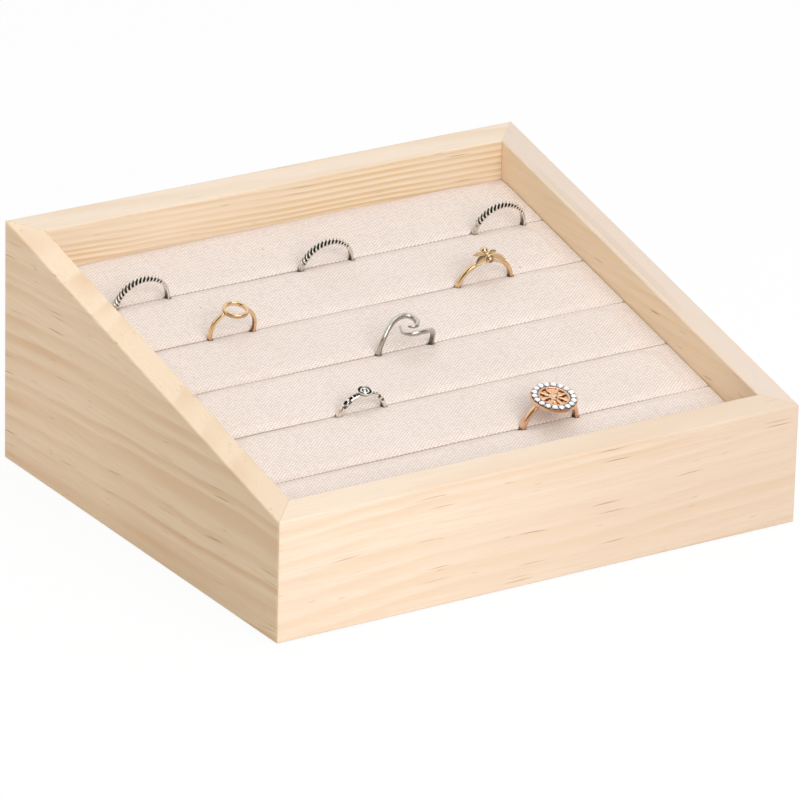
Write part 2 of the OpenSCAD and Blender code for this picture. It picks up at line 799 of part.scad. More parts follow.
end_board(-1);  // front_board
end_board(1);  // back_board
side_board(-1);  // left_board
side_board(1);  // right_board
bottom_panel();
bottom_brads();
shelf();
cleat(-1);  // left_cleat
cleat(1);  // right_cleat
insert_base();
for (i = [1 : roll_count]) foam_roll(i);
for (i = [1 : roll_count]) linen_cover(i);
in_slot(rope_left) rotate(rope_left_turn) rope_ring();  // rope_ring_left
in_slot(rope_middle) rotate(rope_middle_turn) rope_ring();  // rope_ring_middle
in_slot(rope_right) rotate(rope_right_turn) rope_ring();  // rope_ring_right
in_slot(circle_place) circle_ring_shank();
in_slot(circle_place) circle_ring_head();
in_slot(flower_place) flower_ring_shank();
in_slot(flower_place) flower_ring_flower();
in_slot(flower_place) flower_ring_leaves();
in_slot(wave_place) wave_ring();
in_slot(target_place) target_ring_shank();
in_slot(target_place) target_ring_boss();
in_slot(halo_place) halo_ring_shank();
in_slot(halo_place) halo_ring_setting();
in_slot(halo_place) halo_ring_rosette();
in_slot(halo_place) halo_ring_crystals();
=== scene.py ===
from math import asin, atan2, copysign, cos, exp, pi, radians, sin, sqrt

import bmesh
import bpy
import numpy as np
from mathutils import Matrix, Vector


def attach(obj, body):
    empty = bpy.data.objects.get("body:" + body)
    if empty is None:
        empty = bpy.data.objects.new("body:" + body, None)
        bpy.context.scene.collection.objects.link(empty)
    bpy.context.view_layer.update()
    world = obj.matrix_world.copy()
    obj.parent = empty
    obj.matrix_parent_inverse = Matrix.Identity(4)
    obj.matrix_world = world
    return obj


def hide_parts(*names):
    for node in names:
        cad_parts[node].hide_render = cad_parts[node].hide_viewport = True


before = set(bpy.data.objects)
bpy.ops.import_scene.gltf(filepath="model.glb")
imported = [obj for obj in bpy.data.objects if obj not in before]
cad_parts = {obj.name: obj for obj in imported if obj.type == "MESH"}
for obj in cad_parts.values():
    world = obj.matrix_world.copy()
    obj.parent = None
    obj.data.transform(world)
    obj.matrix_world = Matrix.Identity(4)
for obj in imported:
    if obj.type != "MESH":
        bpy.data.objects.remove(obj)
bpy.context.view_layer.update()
print("frame loaded")

mm = 0.001

# the case's own sizes, in millimetres
case = dict(width=180, depth=157.5, frontHeight=37.5, backHeight=76.5, board=9)
slope = atan2(case["backHeight"] - case["frontHeight"], case["depth"])
slopeCos, slopeSin = cos(slope), sin(slope)


def addObject(name, data):
    made = bpy.data.objects.new(name, data)
    bpy.context.scene.collection.objects.link(made)
    return made


# a long lens, looking down at the front left corner
view = dict(turn=-32.9299, tilt=22.2429, roll=1.4492, distance=2080.64, focal=6952.91,
            shiftX=1.2006, shiftY=26.711, imageWidth=800, sensor=36, near=0.1, far=20)


def addCamera(v):
    turn, tilt, roll = (radians(v[key]) for key in ("turn", "tilt", "roll"))
    level = cos(tilt)
    back = Vector((sin(turn) * level, -cos(turn) * level, sin(tilt)))
    right = Vector((cos(turn), sin(turn), 0))
    up = back.cross(right)
    right, up = (cos(roll) * right + sin(roll) * up,
                 cos(roll) * up - sin(roll) * right)
    place = (back * v["distance"] + right * v["shiftX"] + up * v["shiftY"]) * mm
    data = bpy.data.cameras.new("camera")
    data.sensor_width = v["sensor"]
    data.lens = v["focal"] * v["sensor"] / v["imageWidth"]
    data.clip_start, data.clip_end = v["near"], v["far"]
    camera = addObject("camera", data)
    camera.matrix_world = Matrix([*zip(right, up, back, place), (0, 0, 0, 1)])
    bpy.context.scene.camera = camera


addCamera(view)
bpy.context.scene.view_settings.view_transform = "Standard"
print("camera placed")


def operator(operation, swapped=False):
    # an arithmetic method that adds the node for it
    def method(self, other):
        return self.look.maths(operation, *((other, self) if swapped else (self, other)))
    return method


class Value:
    # one number in a material's nodes, so that sums on it read as sums
    def __init__(self, look, socket):
        self.look = look
        self.socket = socket

    def __neg__(self):
        return self * -1

    __add__ = __radd__ = operator("ADD")
    __mul__ = __rmul__ = operator("MULTIPLY")
    __sub__, __rsub__ = operator("SUBTRACT"), operator("SUBTRACT", True)
    __truediv__, __rtruediv__ = operator("DIVIDE"), operator("DIVIDE", True)
    __lt__, __gt__ = operator("LESS_THAN"), operator("GREATER_THAN")


class Look:
    # a material, or the world, and what it takes to wire its nodes
    def __init__(self, name, owner=None):
        self.owner = owner or bpy.data.materials.new(name)
        self.owner.use_nodes = True
        self.tree = self.owner.node_tree
        self.tree.nodes.clear()

    def feed(self, socket, value):
        if isinstance(value, Value):
            self.tree.links.new(value.socket, socket)
        elif socket.type == "RGBA" and len(value) == 3:
            socket.default_value = (*value, 1)
        else:
            socket.default_value = value

    def node(self, kind, settings=None, inputs=None, out=0):
        made = self.tree.nodes.new("ShaderNode" + kind)
        for key, value in (settings or {}).items():
            setattr(made, key, value)
        for key, value in (inputs or {}).items():
            self.feed(made.inputs[key], value)
        return Value(self, made.outputs[out]) if len(made.outputs) else made

    def maths(self, operation, *values):
        return self.node("Math", {"operation": operation}, dict(enumerate(values)))

    def sine(self, value):
        return self.maths("SINE", value)

    def size(self, value):
        return self.maths("ABSOLUTE", value)

    def capped(self, value):
        return self.maths("MINIMUM", value, 1)

    def step(self, value, low, high):
        # 0 below low, 1 above high and smooth between, or the other way round
        return self.node("MapRange", {"interpolation_type": "SMOOTHSTEP"},
                         {"Value": value, "From Min": low, "From Max": high})

    def split(self, vector):
        first = self.node("SeparateXYZ", None, {0: vector})
        return [Value(self, out) for out in first.socket.node.outputs]

    def join(self, x, y, z):
        return self.node("CombineXYZ", None, {0: x, 1: y, 2: z})

    def place(self):
        # the point being shaded, in millimetres
        spot = self.node("TexCoord", None, None, "Object")
        return self.node("VectorMath", {"operation": "SCALE"}, {0: spot, "Scale": 1 / mm})

    def facing(self):
        return self.split(self.node("NewGeometry", None, None, "Normal"))

    def noise(self, at, scale=1, detail=2, rough=0.5, seed=0):
        at = self.node("VectorMath", {"operation": "ADD"},
                       {0: at, 1: (seed, seed * 0.7, seed * 1.3)})
        return self.node("TexNoise", None,
                         {"Vector": at, "Scale": scale, "Detail": detail, "Roughness": rough})

    def drawn(self, axes, sizes, detail, rough, seed):
        # noise that is drawn out to its own size along each axis
        return self.noise(self.join(*(a / size for a, size in zip(axes, sizes))),
                          1, detail, rough, seed)

    def mix(self, factor, a, b, blend="MIX"):
        return self.node("Mix", {"data_type": "RGBA", "blend_type": blend},
                         {0: factor, 6: a, 7: b}, 2)

    def layer(self, colour, *layers):
        # lays shades over a colour, each where its value climbs from low to high
        for value, low, high, strength, shade in layers:
            colour = self.mix(self.step(value, low, high) * strength, colour, shade)
        return colour

    def blend(self, factor, a, b):
        # mixes two shaders
        return self.node("MixShader", None, {0: factor, 1: a, 2: b})

    def bump(self, height, strength, distance):
        return self.node("Bump", None, {"Height": height, "Strength": strength,
                                        "Distance": distance * mm})

    def attribute(self, name):
        return self.node("Attribute", {"attribute_name": name}, None, "Fac")

    def finish(self, inputs):
        shader = self.node("BsdfPrincipled", None, inputs)
        self.node("OutputMaterial", None, {"Surface": shader})
        return self.owner


def paint(name, material, sharp=None):
    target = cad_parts[name].data
    target.materials.clear()
    target.materials.append(material)
    if sharp:
        # keeps the corners sharp and lets the softened edges shade as round
        target.shade_smooth()
        target.set_sharp_from_angle(angle=radians(sharp))


def dashes(look, along, across, through, v, seed):
    # short dark lines along the grain, each a long thin speck with its own strength
    at = look.join(along / v["length"] + seed, across / v["spread"] + seed * 0.37,
                   through / v["spread"])
    settings = {"voronoi_dimensions": "3D", "feature": "F1"}
    inputs = {"Vector": at, "Scale": 1, "Randomness": 1}
    near = look.node("TexVoronoi", settings, inputs, "Distance")
    pick = look.split(look.node("TexVoronoi", settings, inputs, "Color"))
    kept = pick[0] > 1 - v["share"]
    faintest = 0.35
    strength = faintest + (1 - faintest) * pick[1]
    return (1 - look.step(near, v["core"], v["edge"])) * kept * strength


def pine(name, v):
    look = Look(name)
    seed = v["seed"]
    x, y, z = look.split(look.place())
    along, through = (x, y) if v["grain"] == "x" else (y, x)
    slow, quick, fade, fibre, drift = (
        look.drawn((along, z, through), (length, thick, thick), detail, rough, seed + shift)
        for length, thick, detail, rough, shift in v["figures"])
    # the growth rings wander along the trunk, slowly and then a little faster
    slow, quick = slow - 0.5, quick - 0.5
    lift = z - v["pithUp"] + along * v["lean"] + slow * v["wander"] + quick * v["ripple"]
    aside = through - v["pithIn"] + along * v["leanIn"]
    radius = look.maths("SQRT", lift * lift + aside * aside)
    uneven = look.node("TexNoise", {"noise_dimensions": "1D"},
                       {"W": radius / v["unevenSize"] + seed, "Scale": 1, "Detail": 1})
    ring = look.maths("FRACT", radius / v["pitch"] + uneven * v["uneven"])
    late = look.step(ring, *v["ringRise"]) * (1 - look.step(ring, *v["ringFall"]))
    late = late * (v["faintest"] + (1 - v["faintest"]) * look.step(fade, *v["fadeRange"]))
    colour = look.mix(look.capped(late * v["bandStrength"]), v["early"], v["late"])
    # fine fibres, a broad drift of tone and dark lines of resin
    colour = look.layer(colour, (fibre, *v["fibreRange"], v["fibreStrength"], v["fibre"]),
                        (drift, *v["driftRange"], v["driftStrength"], v["drift"]))
    longDash = dashes(look, along, lift, through, v["dash"], seed)
    speck = dashes(look, along, lift, through, v["speck"], seed + 4)
    resin = look.capped(longDash * v["dashStrength"] + speck * v["speckStrength"])
    colour = look.mix(resin, colour, v["resin"])
    # hairline where two boards meet at a corner
    offMitre = look.size(look.size(x) - look.size(y) - (case["width"] - case["depth"]) / 2)
    joint = (1 - look.step(offMitre, *v["hairline"])) * v["jointStrength"]
    colour = look.mix(joint, colour, v["glue"])
    # painted light and shade: each board's colour is scaled from one end to the other (the front
    # board darker to the right, the left board lighter towards the back, the right board lifted
    # all over), standing in for light that falls unevenly on the boards
    ends = look.mix(look.step(along, -v["plankHalf"], v["plankHalf"]), v["nearEndLight"], v["farEndLight"])
    colour = look.mix(1, colour, ends, "MULTIPLY")
    # painted light: faces that point up take the rim colour, paler on most boards and darker on
    # the right one, for the light on the tops
    onTop = look.step(look.facing()[2], 0.6, 0.9)
    colour = look.mix(onTop * v["rimLightStrength"], colour, v["rim"])
    if "rimLines" in v:
        # a few growth rings run out along the inner edge of the rim
        own = v["rimLines"]
        off = look.size(through) - case["width"] / 2 + case["board"] - own["inset"]
        off = off + slow * own["wander"]
        lines = look.step(look.sine(off * (2 * pi / own["pitch"])), 0.55, 0.95)
        lines = lines * look.step(look.size(off), *own["across"])
        there = look.step(along, *own["start"]) * look.step(along, *own["stop"])
        colour = look.mix(lines * there * onTop * own["strength"], colour, v["glue"])
    height = fibre * 0.6 - late * 0.15 - longDash * 0.5 - speck * 0.3
    return look.finish({"Base Color": colour, "Roughness": v["rough"] + fibre * v["roughSpread"],
                        "Specular IOR Level": v["gloss"],
                        "Normal": look.bump(height, v["bumpStrength"], v["bumpDepth"])})


# a figure is (length, thickness, detail, roughness, seed): the slow and the quick wander of the
# rings, where they fade, the fibres and the drift of tone
pineLook = dict(
    figures=((95, 42, 2, 0.5, 0), (30, 11, 2, 0.5, 5), (80, 12, 1, 0.5, 9), (16, 0.55, 3, 0.6, 2),
             (60, 24, 1, 0.5, 3)),
    early=(0.80, 0.66, 0.505), late=(0.69, 0.48, 0.29), fibre=(0.66, 0.50, 0.34),
    drift=(0.75, 0.60, 0.44), resin=(0.36, 0.20, 0.10), glue=(0.52, 0.37, 0.22),
    bandStrength=0.85, fibreStrength=0.4, driftStrength=0.45, dashStrength=0.9,
    speckStrength=0.6, jointStrength=0.55, pitch=5.2, wander=7, ripple=1.2,
    uneven=1.6, unevenSize=9, ringRise=(0.12, 0.72), ringFall=(0.78, 0.98), faintest=0.25,
    fadeRange=(0.32, 0.68), fibreRange=(0.35, 0.75), driftRange=(0.3, 0.7), hairline=(0.05, 0.3),
    plankHalf=85, rough=0.46, roughSpread=0.2, gloss=0.32, bumpStrength=0.35, bumpDepth=0.06,
    # the rim colours are painted light on the upward faces
    nearEndLight=(1, 1, 1), farEndLight=(1, 1, 1), rim=(0.80, 0.68, 0.55), rimLightStrength=0.3,
    dash=dict(length=30, spread=1.0, share=0.24, core=0.05, edge=0.24),
    speck=dict(length=11, spread=0.8, share=0.14, core=0.05, edge=0.22))

# the end tones below are painted light and shade
boards = {
    "front_board": dict(
        grain="x", seed=3.1, pithUp=-38, pithIn=-62, lean=-0.03, leanIn=0.05, wander=8,
        bandStrength=0.6, late=(0.74, 0.54, 0.35), nearEndLight=(1, 1, 1.04),
        farEndLight=(0.87, 0.845, 0.86)),
    "back_board": dict(
        grain="x", seed=11.7, pithUp=-20, pithIn=72, lean=0.02, leanIn=-0.02, wander=4,
        ripple=0.7, pitch=1.9, bandStrength=1.25, late=(0.66, 0.44, 0.22),
        rim=(0.80, 0.69, 0.58), rimLightStrength=0.6),
    "left_board": dict(
        grain="y", seed=23.4, pithUp=-30, pithIn=-70, lean=0.06, leanIn=0.03, wander=10,
        ripple=0.6, pitch=6, late=(0.65, 0.435, 0.25), nearEndLight=(0.93, 0.89, 0.81),
        farEndLight=(1.13, 1.08, 1.02)),
    "right_board": dict(
        grain="y", seed=31.9, pithUp=-60, pithIn=60, lean=-0.04, leanIn=-0.03, wander=9,
        bandStrength=0.4, nearEndLight=(1.13, 1.125, 1.07), farEndLight=(1.13, 1.125, 1.07),
        rim=(0.67, 0.565, 0.50), rimLightStrength=0.8,
        rimLines=dict(start=(-30, -16), stop=(62, 44), across=(1.3, 1), inset=1.9, wander=5,
                      pitch=0.85, strength=0.75),
        dash=dict(length=15, spread=1.5, share=0.24, core=0.08, edge=0.24)),
}
cleat = dict(grain="y", pithUp=20, pithIn=0, lean=0.1, leanIn=0, jointStrength=0)
boards["left_cleat"], boards["right_cleat"] = {**cleat, "seed": 41.3}, {**cleat, "seed": 47.2}
for name, own in boards.items():
    paint(name, pine(name + "_pine", {**pineLook, **own}), 40 if name.endswith("board") else None)
print("pine done")


def plywood(name, v):
    look = Look(name)
    x, y, z = look.split(look.place())
    level = z * slopeCos - y * slopeSin if v["sloping"] else z
    length, width = v["figureSize"]
    figure = look.noise(look.join(x / length, y / width, 0), 1, 3, 0.6, v["seed"])
    rings = look.maths("FRACT", figure * v["rings"])
    fibre = look.drawn((x, y, level), v["fibreSize"], 3, 0.6, v["seed"] + 1)
    # the plies show as bands round the edge
    ply = look.sine((level - v["level"]) * (2 * pi / v["ply"]))
    colour = look.layer(v["pale"], (rings, 0.3, 0.9, v["ringStrength"], v["tan"]),
                        (fibre, 0.4, 0.7, v["fibreStrength"], v["dark"]))
    onEdge = 1 - look.step(look.size(look.facing()[2]), 0.4, 0.6)
    colour = look.mix(onEdge * look.step(ply, -0.2, 0.3) * v["plyStrength"], colour, v["dark"])
    return look.finish({"Base Color": colour, "Roughness": 0.6 + fibre * 0.15,
                        "Normal": look.bump(fibre, 0.3, 0.05)})


plyLook = dict(pale=(0.70, 0.55, 0.38), tan=(0.60, 0.43, 0.26), dark=(0.42, 0.27, 0.15),
               figureSize=(70, 9), rings=9, ringStrength=0.5, fibreSize=(12, 0.6, 0.6),
               fibreStrength=0.3, ply=1.0, plyStrength=0.6)
paint("bottom_panel", plywood("bottomPly", {**plyLook, "sloping": False, "seed": 5.3,
                                            "level": 0.4}))
paint("shelf", plywood("shelfPly", {**plyLook, "sloping": True, "seed": 8.8, "level": 0}))


def greyBoard(v):
    look = Look("greyBoard")
    spot = look.place()
    pulp = look.noise(spot, v["pulpScale"], 4, 0.7, 2)
    fleck = look.noise(spot, v["fleckScale"], 2, 0.5, 6)
    colour = look.mix(look.step(pulp, 0.3, 0.7), v["pale"], v["dark"])
    colour = look.mix(look.step(fleck, 0.68, 0.74) * v["fleckStrength"], colour, v["fleck"])
    return look.finish({"Base Color": colour, "Roughness": v["rough"],
                        "Normal": look.bump(pulp, 0.4, 0.1)})


def bradSteel(v):
    look = Look("bradSteel")
    worn = look.noise(look.place(), v["scale"], 3, 0.6, 1)
    colour = look.mix(look.step(worn, 0.4, 0.7), v["bright"], v["dull"])
    return look.finish({"Base Color": colour, "Metallic": 1.0,
                        "Roughness": v["rough"] + worn * v["roughSpread"],
                        "Normal": look.bump(worn, 0.2, 0.03)})


paint("insert_base", greyBoard(dict(
    pale=(0.42, 0.39, 0.35), dark=(0.33, 0.31, 0.275), fleck=(0.2, 0.18, 0.15),
    fleckStrength=0.7, pulpScale=0.8, fleckScale=3.5, rough=0.85)))
paint("bottom_brads", bradSteel(dict(bright=(0.50, 0.50, 0.52), dull=(0.36, 0.34, 0.32),
                                     scale=1.6, rough=0.28, roughSpread=0.25)))
print("bottom and base done")


def linen(v):
    look = Look("linen")
    x, y, z = look.split(look.place())
    up = y * slopeCos + z * slopeSin
    deep = z * slopeCos - y * slopeSin
    axes = (x, up, deep)
    # threads drift a little from a perfect grid
    drift = look.drawn(axes, [v["driftSize"]] * 3, 2, 0.5, 4) - 0.5
    across = (x + drift * v["warpDrift"]) * (pi / v["warp"])
    along = (up - drift * v["weftDrift"]) * (pi / v["weft"])
    crossed = look.sine(across) * look.sine(along)
    # each thread has its own weight, and thickens here and there
    run, near = v["threadRun"], deep / 40
    warpThread = look.noise(look.join(x / v["warp"] * 0.9, up / run, near), 1, 1, 0.5, 8)
    weftThread = look.noise(look.join(x / run, up / v["weft"] * 0.9, near), 1, 1, 0.5, 15)
    cloud = look.drawn(axes, [v["cloudSize"]] * 3, 2, 0.5, 21)
    fuzz = look.noise(look.join(*axes), v["fuzzScale"], 2, 0.6, 17)
    # no two crossings take the dye alike
    crossing = look.join(look.maths("FLOOR", across / pi), look.maths("FLOOR", along / pi), 0)
    dye = look.node("TexWhiteNoise", {"noise_dimensions": "3D"}, {"Vector": crossing}, "Value")
    colour = look.layer(
        look.mix(look.step(crossed, -0.6, 0.6), v["rose"], v["cream"]),
        (dye, 0.45, 1, v["dye"], v["shade"]), (warpThread, 0.45, 0.8, v["thread"], v["shade"]),
        (weftThread, 0.45, 0.8, v["thread"], v["shade"]),
        (fuzz, 0.4, 0.75, v["fuzz"], v["shade"]), (cloud, 0.3, 0.7, v["cloud"], v["shade"]))
    speck = dashes(look, x, up, deep, v["speck"], 7.7)
    fleck = dashes(look, up, x, deep, v["fleck"], 2.9)
    slubs = look.capped(speck * v["speckStrength"] + fleck * v["fleckStrength"])
    colour = look.mix(slubs, colour, v["slub"])
    # painted shade: darker where the cloth turns down into a slot and where it closes round a
    # ring's shank
    slotShade = look.attribute("slotShade")
    colour = look.mix(slotShade * v["slotShadeStrength"], colour, v["dusk"])
    height = look.size(crossed) * 0.7 + fuzz * 0.3 + warpThread * 0.3 + weftThread * 0.3
    return look.finish({"Base Color": colour, "Roughness": v["rough"] + fuzz * 0.1,
                        "Sheen Weight": v["sheen"], "Sheen Roughness": 0.5,
                        "Specular IOR Level": v["gloss"],
                        "Normal": look.bump(height * (1 - slotShade), 0.3, 0.1)})


linenLook = linen(dict(
    warp=0.704, weft=0.495, warpDrift=0.5, weftDrift=0.4, driftSize=14, threadRun=22,
    cloudSize=26, fuzzScale=3.5, rough=0.82, sheen=0.18, gloss=0.22,
    cream=(0.88, 0.795, 0.74), rose=(0.655, 0.56, 0.505),
    shade=(0.58, 0.48, 0.42), dye=0.36, thread=0.12, fuzz=0.16, cloud=0.08,
    slub=(0.30, 0.23, 0.19), speckStrength=0.8, fleckStrength=0.3,
    speck=dict(length=3.4, spread=2.6, share=0.012, core=0.05, edge=0.13),
    fleck=dict(length=2.0, spread=1.6, share=0.03, core=0.03, edge=0.12),
    # the colour and strength of the painted shade in the slots
    dusk=(0.48, 0.35, 0.28), slotShadeStrength=0.7))


def metal(name, v):
    look = Look(name)
    spot = look.place()
    scuff = look.noise(spot, v["scuffScale"], 3, 0.6, v["seed"])
    hammer = look.noise(spot, v["waveScale"], 1, 0.5, v["seed"] + 3)
    colour = look.mix(look.step(scuff, 0.35, 0.7) * v["toneStrength"], v["bright"], v["dull"])
    rough = v["rough"] + look.step(scuff, 0.3, 0.8) * v["roughSpread"]
    if "pale" in v:
        colour = look.mix(look.attribute("pale"), colour, v["pale"])
    # darkened towards black where the low attribute is set: the real blackening in the hollows of
    # the oxidised silver, and painted shade inside the shanks, in grooves and hollows, down the
    # wire's sides and in the halo's opening
    low = look.attribute("low")
    colour = look.mix(low, colour, v["black"])
    return look.finish({"Base Color": colour, "Metallic": 1.0, "Roughness": rough + low * 0.25,
                        "Normal": look.bump(hammer * 0.7 + scuff * 0.3, v["bumpStrength"], 0.05)})


def crystal(v):
    look = Look("crystal")
    cloud = look.noise(look.place(), 1.1, 2, 0.5, 3)
    colour = look.mix(cloud, v["clear"], v["cool"])
    # painted shade: grey round the edge, where the facets turn away
    colour = look.mix(look.attribute("low"), colour, v["edge"])
    return look.finish({"Base Color": colour, "Metallic": v["mirror"],
                        "Roughness": v["rough"] + cloud * 0.08,
                        "Coat Weight": v["coat"], "Coat Roughness": 0.03,
                        "Normal": look.bump(cloud, 0.05, 0.02)})


metalLook = dict(toneStrength=0.6, roughSpread=0.12, scuffScale=1.2, waveScale=0.7,
                 bumpStrength=0.25)
metals = {
    "oxidised_silver": dict(
        bright=(0.94, 0.91, 0.84), dull=(0.72, 0.68, 0.59), black=(0.018, 0.016, 0.015), seed=2,
        rough=0.16, roughSpread=0.16, scuffScale=1.3),
    "brushed_silver": dict(
        bright=(0.66, 0.625, 0.56), dull=(0.42, 0.385, 0.33), black=(0.08, 0.065, 0.05), seed=5,
        toneStrength=0.7, rough=0.24, roughSpread=0.15, scuffScale=1.8, waveScale=0.9,
        bumpStrength=0.35),
    "gold": dict(
        bright=(0.87, 0.64, 0.38), dull=(0.68, 0.46, 0.25), black=(0.16, 0.075, 0.03), seed=8,
        rough=0.17, waveScale=0.8),
    "rose_gold": dict(
        bright=(0.87, 0.58, 0.38), dull=(0.68, 0.42, 0.26), black=(0.17, 0.065, 0.03),
        pale=(0.42, 0.42, 0.43), seed=13, toneStrength=0.5, rough=0.15, bumpStrength=0.2),
}
finishes = {name: metal(name, {**metalLook, **own}) for name, own in metals.items()}
finishes["crystal"] = crystal(dict(
    clear=(1.0, 1.0, 1.0), cool=(0.88, 0.90, 0.94), edge=(0.33, 0.34, 0.37), mirror=0.45,
    rough=0.08, coat=0.6))
print("finishes mixed")


def clamped(value):
    return min(1, max(0, value))


# the cushion: how far its top lies under the rim, its rolls and the slots between them
insert = dict(drop=11.5, pitch=23.5, height=16, slot=0.2, rolls=6, ringFit=0.03)


def wallPlace(q, n):
    # place along the slope of an upright plane, q from the front face, at height n over the rim
    return (q + n * slopeSin) / slopeCos


def slotPlace(k):
    middle = wallPlace(case["depth"] / 2, -insert["drop"])
    return middle + (k - insert["rolls"] / 2) * insert["pitch"]


def fromSlope(points):
    # across, up the slope and out of it, in millimetres, to the row frame in metres
    p = np.asarray(points, float).reshape(-1, 3)
    return np.column_stack([
        p[:, 0],
        -case["depth"] / 2 + p[:, 1] * slopeCos - p[:, 2] * slopeSin,
        case["frontHeight"] + p[:, 1] * slopeSin + p[:, 2] * slopeCos]) * mm


def fromRing(points, seat):
    # a ring's own axes (right, out of the pad, towards the front) to the row frame
    p = np.asarray(points, float).reshape(-1, 3)
    return fromSlope(np.column_stack([
        seat["x"] + p[:, 0],
        slotPlace(seat["slot"]) - p[:, 2],
        seat["rise"] - insert["drop"] + p[:, 1]]))


def addMesh(name, points, faces, material, smooth=True, sharp=None, values=None):
    data = bpy.data.meshes.new(name)
    data.from_pydata([tuple(p) for p in points], [], [tuple(int(i) for i in f) for f in faces])
    data.validate()
    for key, numbers in (values or {}).items():
        layer = data.attributes.new(key, "FLOAT", "POINT")
        layer.data.foreach_set("value", np.asarray(numbers, np.float32))
    data.update()
    if smooth:
        data.shade_smooth()
        if sharp:
            data.set_sharp_from_angle(angle=radians(sharp))
    data.materials.append(material)
    return addObject(name, data)


def skin(rows, closed=False, capped=True):
    # skins one cross-section after another: points, and faces that look outwards
    count, across = len(rows), len(rows[0])
    faces = []
    for k in range(count if closed else count - 1):
        near, far = k * across, (k + 1) % count * across
        for j in range(across):
            after = (j + 1) % across
            faces.append((near + j, near + after, far + after, far + j))
    if capped and not closed:
        faces.append(tuple(reversed(range(across))))
        faces.append(tuple((count - 1) * across + j for j in range(across)))
    return np.concatenate(rows), faces


def turnOutwards(piece):
    mesh = bmesh.new()
    mesh.from_mesh(piece.data)
    bmesh.ops.recalc_face_normals(mesh, faces=mesh.faces)
    mesh.to_mesh(piece.data)
    mesh.free()
    return piece


def seatPiece(piece, body, slotName, *nodes):
    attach(piece, body)
    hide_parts(*nodes)


# where each ring stands: its size decides how the pads close round it
inner = case["width"] - 2 * case["board"]
rope = dict(slot=5, bore=17, thick=1.2, wide=1.9)
seats = {
    "rope_ring_left": dict(x=inner * -0.383, rise=-1.1, **rope),
    "rope_ring_middle": dict(x=inner * 0.015, rise=-1.2, **rope),
    "rope_ring_right": dict(x=inner * 0.398, rise=-0.6, **rope),
    "circle_ring": dict(x=inner * -0.275, slot=4, rise=1.4, bore=14.1, thick=1.2, wide=1.4),
    "flower_ring": dict(x=inner * 0.275, slot=4, rise=-2, bore=17.9, thick=1.5, wide=1.7),
    "wave_ring": dict(x=inner * 0.012, slot=3, rise=0.2, bore=17.2, thick=1.5, wide=1.5),
    "target_ring": dict(x=inner * -0.17, slot=2, rise=-2.4, bore=14.9, thick=1.3, wide=1.8),
    "halo_ring": dict(x=inner * 0.145, slot=1, rise=-1.2, bore=17.2, thick=1.5, wide=2),
}
for seat in seats.values():
    seat["middle"] = (seat["bore"] + seat["thick"]) / 2
    seat["top"] = seat["bore"] / 2 + seat["thick"]


# the pads are six rolls of linen over foam: their edges, how finely they are drawn, how the cloth
# swells, and how far they are from level
padForm = dict(
    edge=0.22, endRound=1.0, endEdge=0.4, wallGap=0.12,
    wallRows=15, cornerRows=3, topRows=13, floorRows=3,
    coarse=2.6, plain=2.2, nearRing=0.9, nearFoot=0.2,
    rise=0.42, spread=0.05, blowUp=25, pressure=4, frames=20, freeDepth=3.5, heldDepth=7.5,
    cloth=dict(quality=4, mass=0.12, tension_stiffness=18, compression_stiffness=18,
               shear_stiffness=8, bending_stiffness=0.6, use_pressure=True),
    waves=(17, 7.3, 9, 5), waveRise=0.055, waveShift=0.05, tilt=0.35, backDip=0.7,
    # the last settings shape how the foam gives round a shank and how far its painted shade
    # reaches
    giveEdge=0.28, giveReach=1.25, duskReach=0.3, slotDusk=0.15, seed=7)
padHalf = inner / 2 - padForm["wallGap"]


def rollLoop(i, inset, lower, v):
    # cross-section of roll i, shrunk by inset: up the front, over the top, down the back
    top = -insert["drop"] - lower
    low = -insert["drop"] - insert["height"]
    half = insert["slot"] / 2

    def front(n):
        if i == 1:
            return wallPlace(case["board"] + v["wallGap"], n) + inset
        return slotPlace(i - 1) + half + inset

    def back(n):
        if i == insert["rolls"]:
            return wallPlace(case["depth"] - case["board"] - v["wallGap"], n) - inset
        return slotPlace(i) - half - inset

    def between(start, stop, n, count):
        return [(start + (stop - start) * k / count, n) for k in range(1, count)]

    # the edge grows rounder towards the ends
    r = max(v["edge"], v["edge"] * 0.5 + inset * 0.3)
    levels = [low + (top - r - low) * (k / v["wallRows"]) ** 0.75
              for k in range(v["wallRows"] + 1)]
    turns = [pi / 2 * k / (v["cornerRows"] + 1) for k in range(1, v["cornerRows"] + 2)]
    loop = [(front(n), n) for n in levels]
    loop += [(front(top) + r - r * cos(a), top - r + r * sin(a)) for a in turns]
    loop += between(front(top) + r, back(top) - r, top, v["topRows"])
    loop += [(back(top) - r + r * cos(a), top - r + r * sin(a)) for a in reversed(turns)]
    loop += [(back(n), n) for n in reversed(levels)]
    return loop + between(back(low), front(low), low, v["floorRows"])


def rollColumns(places, v):
    # places along the roll, with its rounded ends: (across, inset, how far the top drops)
    r, edge = v["endRound"], v["endEdge"]
    left = []
    for k in range(5):
        a = pi / 2 * k / 4
        off = r * (1 - cos(a))
        short = max(edge - off, 0)
        left.append((off - padHalf, r * (1 - sin(a)),
                     edge - sqrt(edge ** 2 - short ** 2)))
    right = [(-x, inset, lower) for x, inset, lower in reversed(left)]
    return left + [(x, 0, 0) for x in places if abs(x) < padHalf - 1.5 * r] + right


def rollPoints(i, columns, v):
    # rows of (across, up the slope, out of it), one row of points for each column
    return np.array([[(x, s, n) for s, n in rollLoop(i, inset, lower, v)]
                     for x, inset, lower in columns])


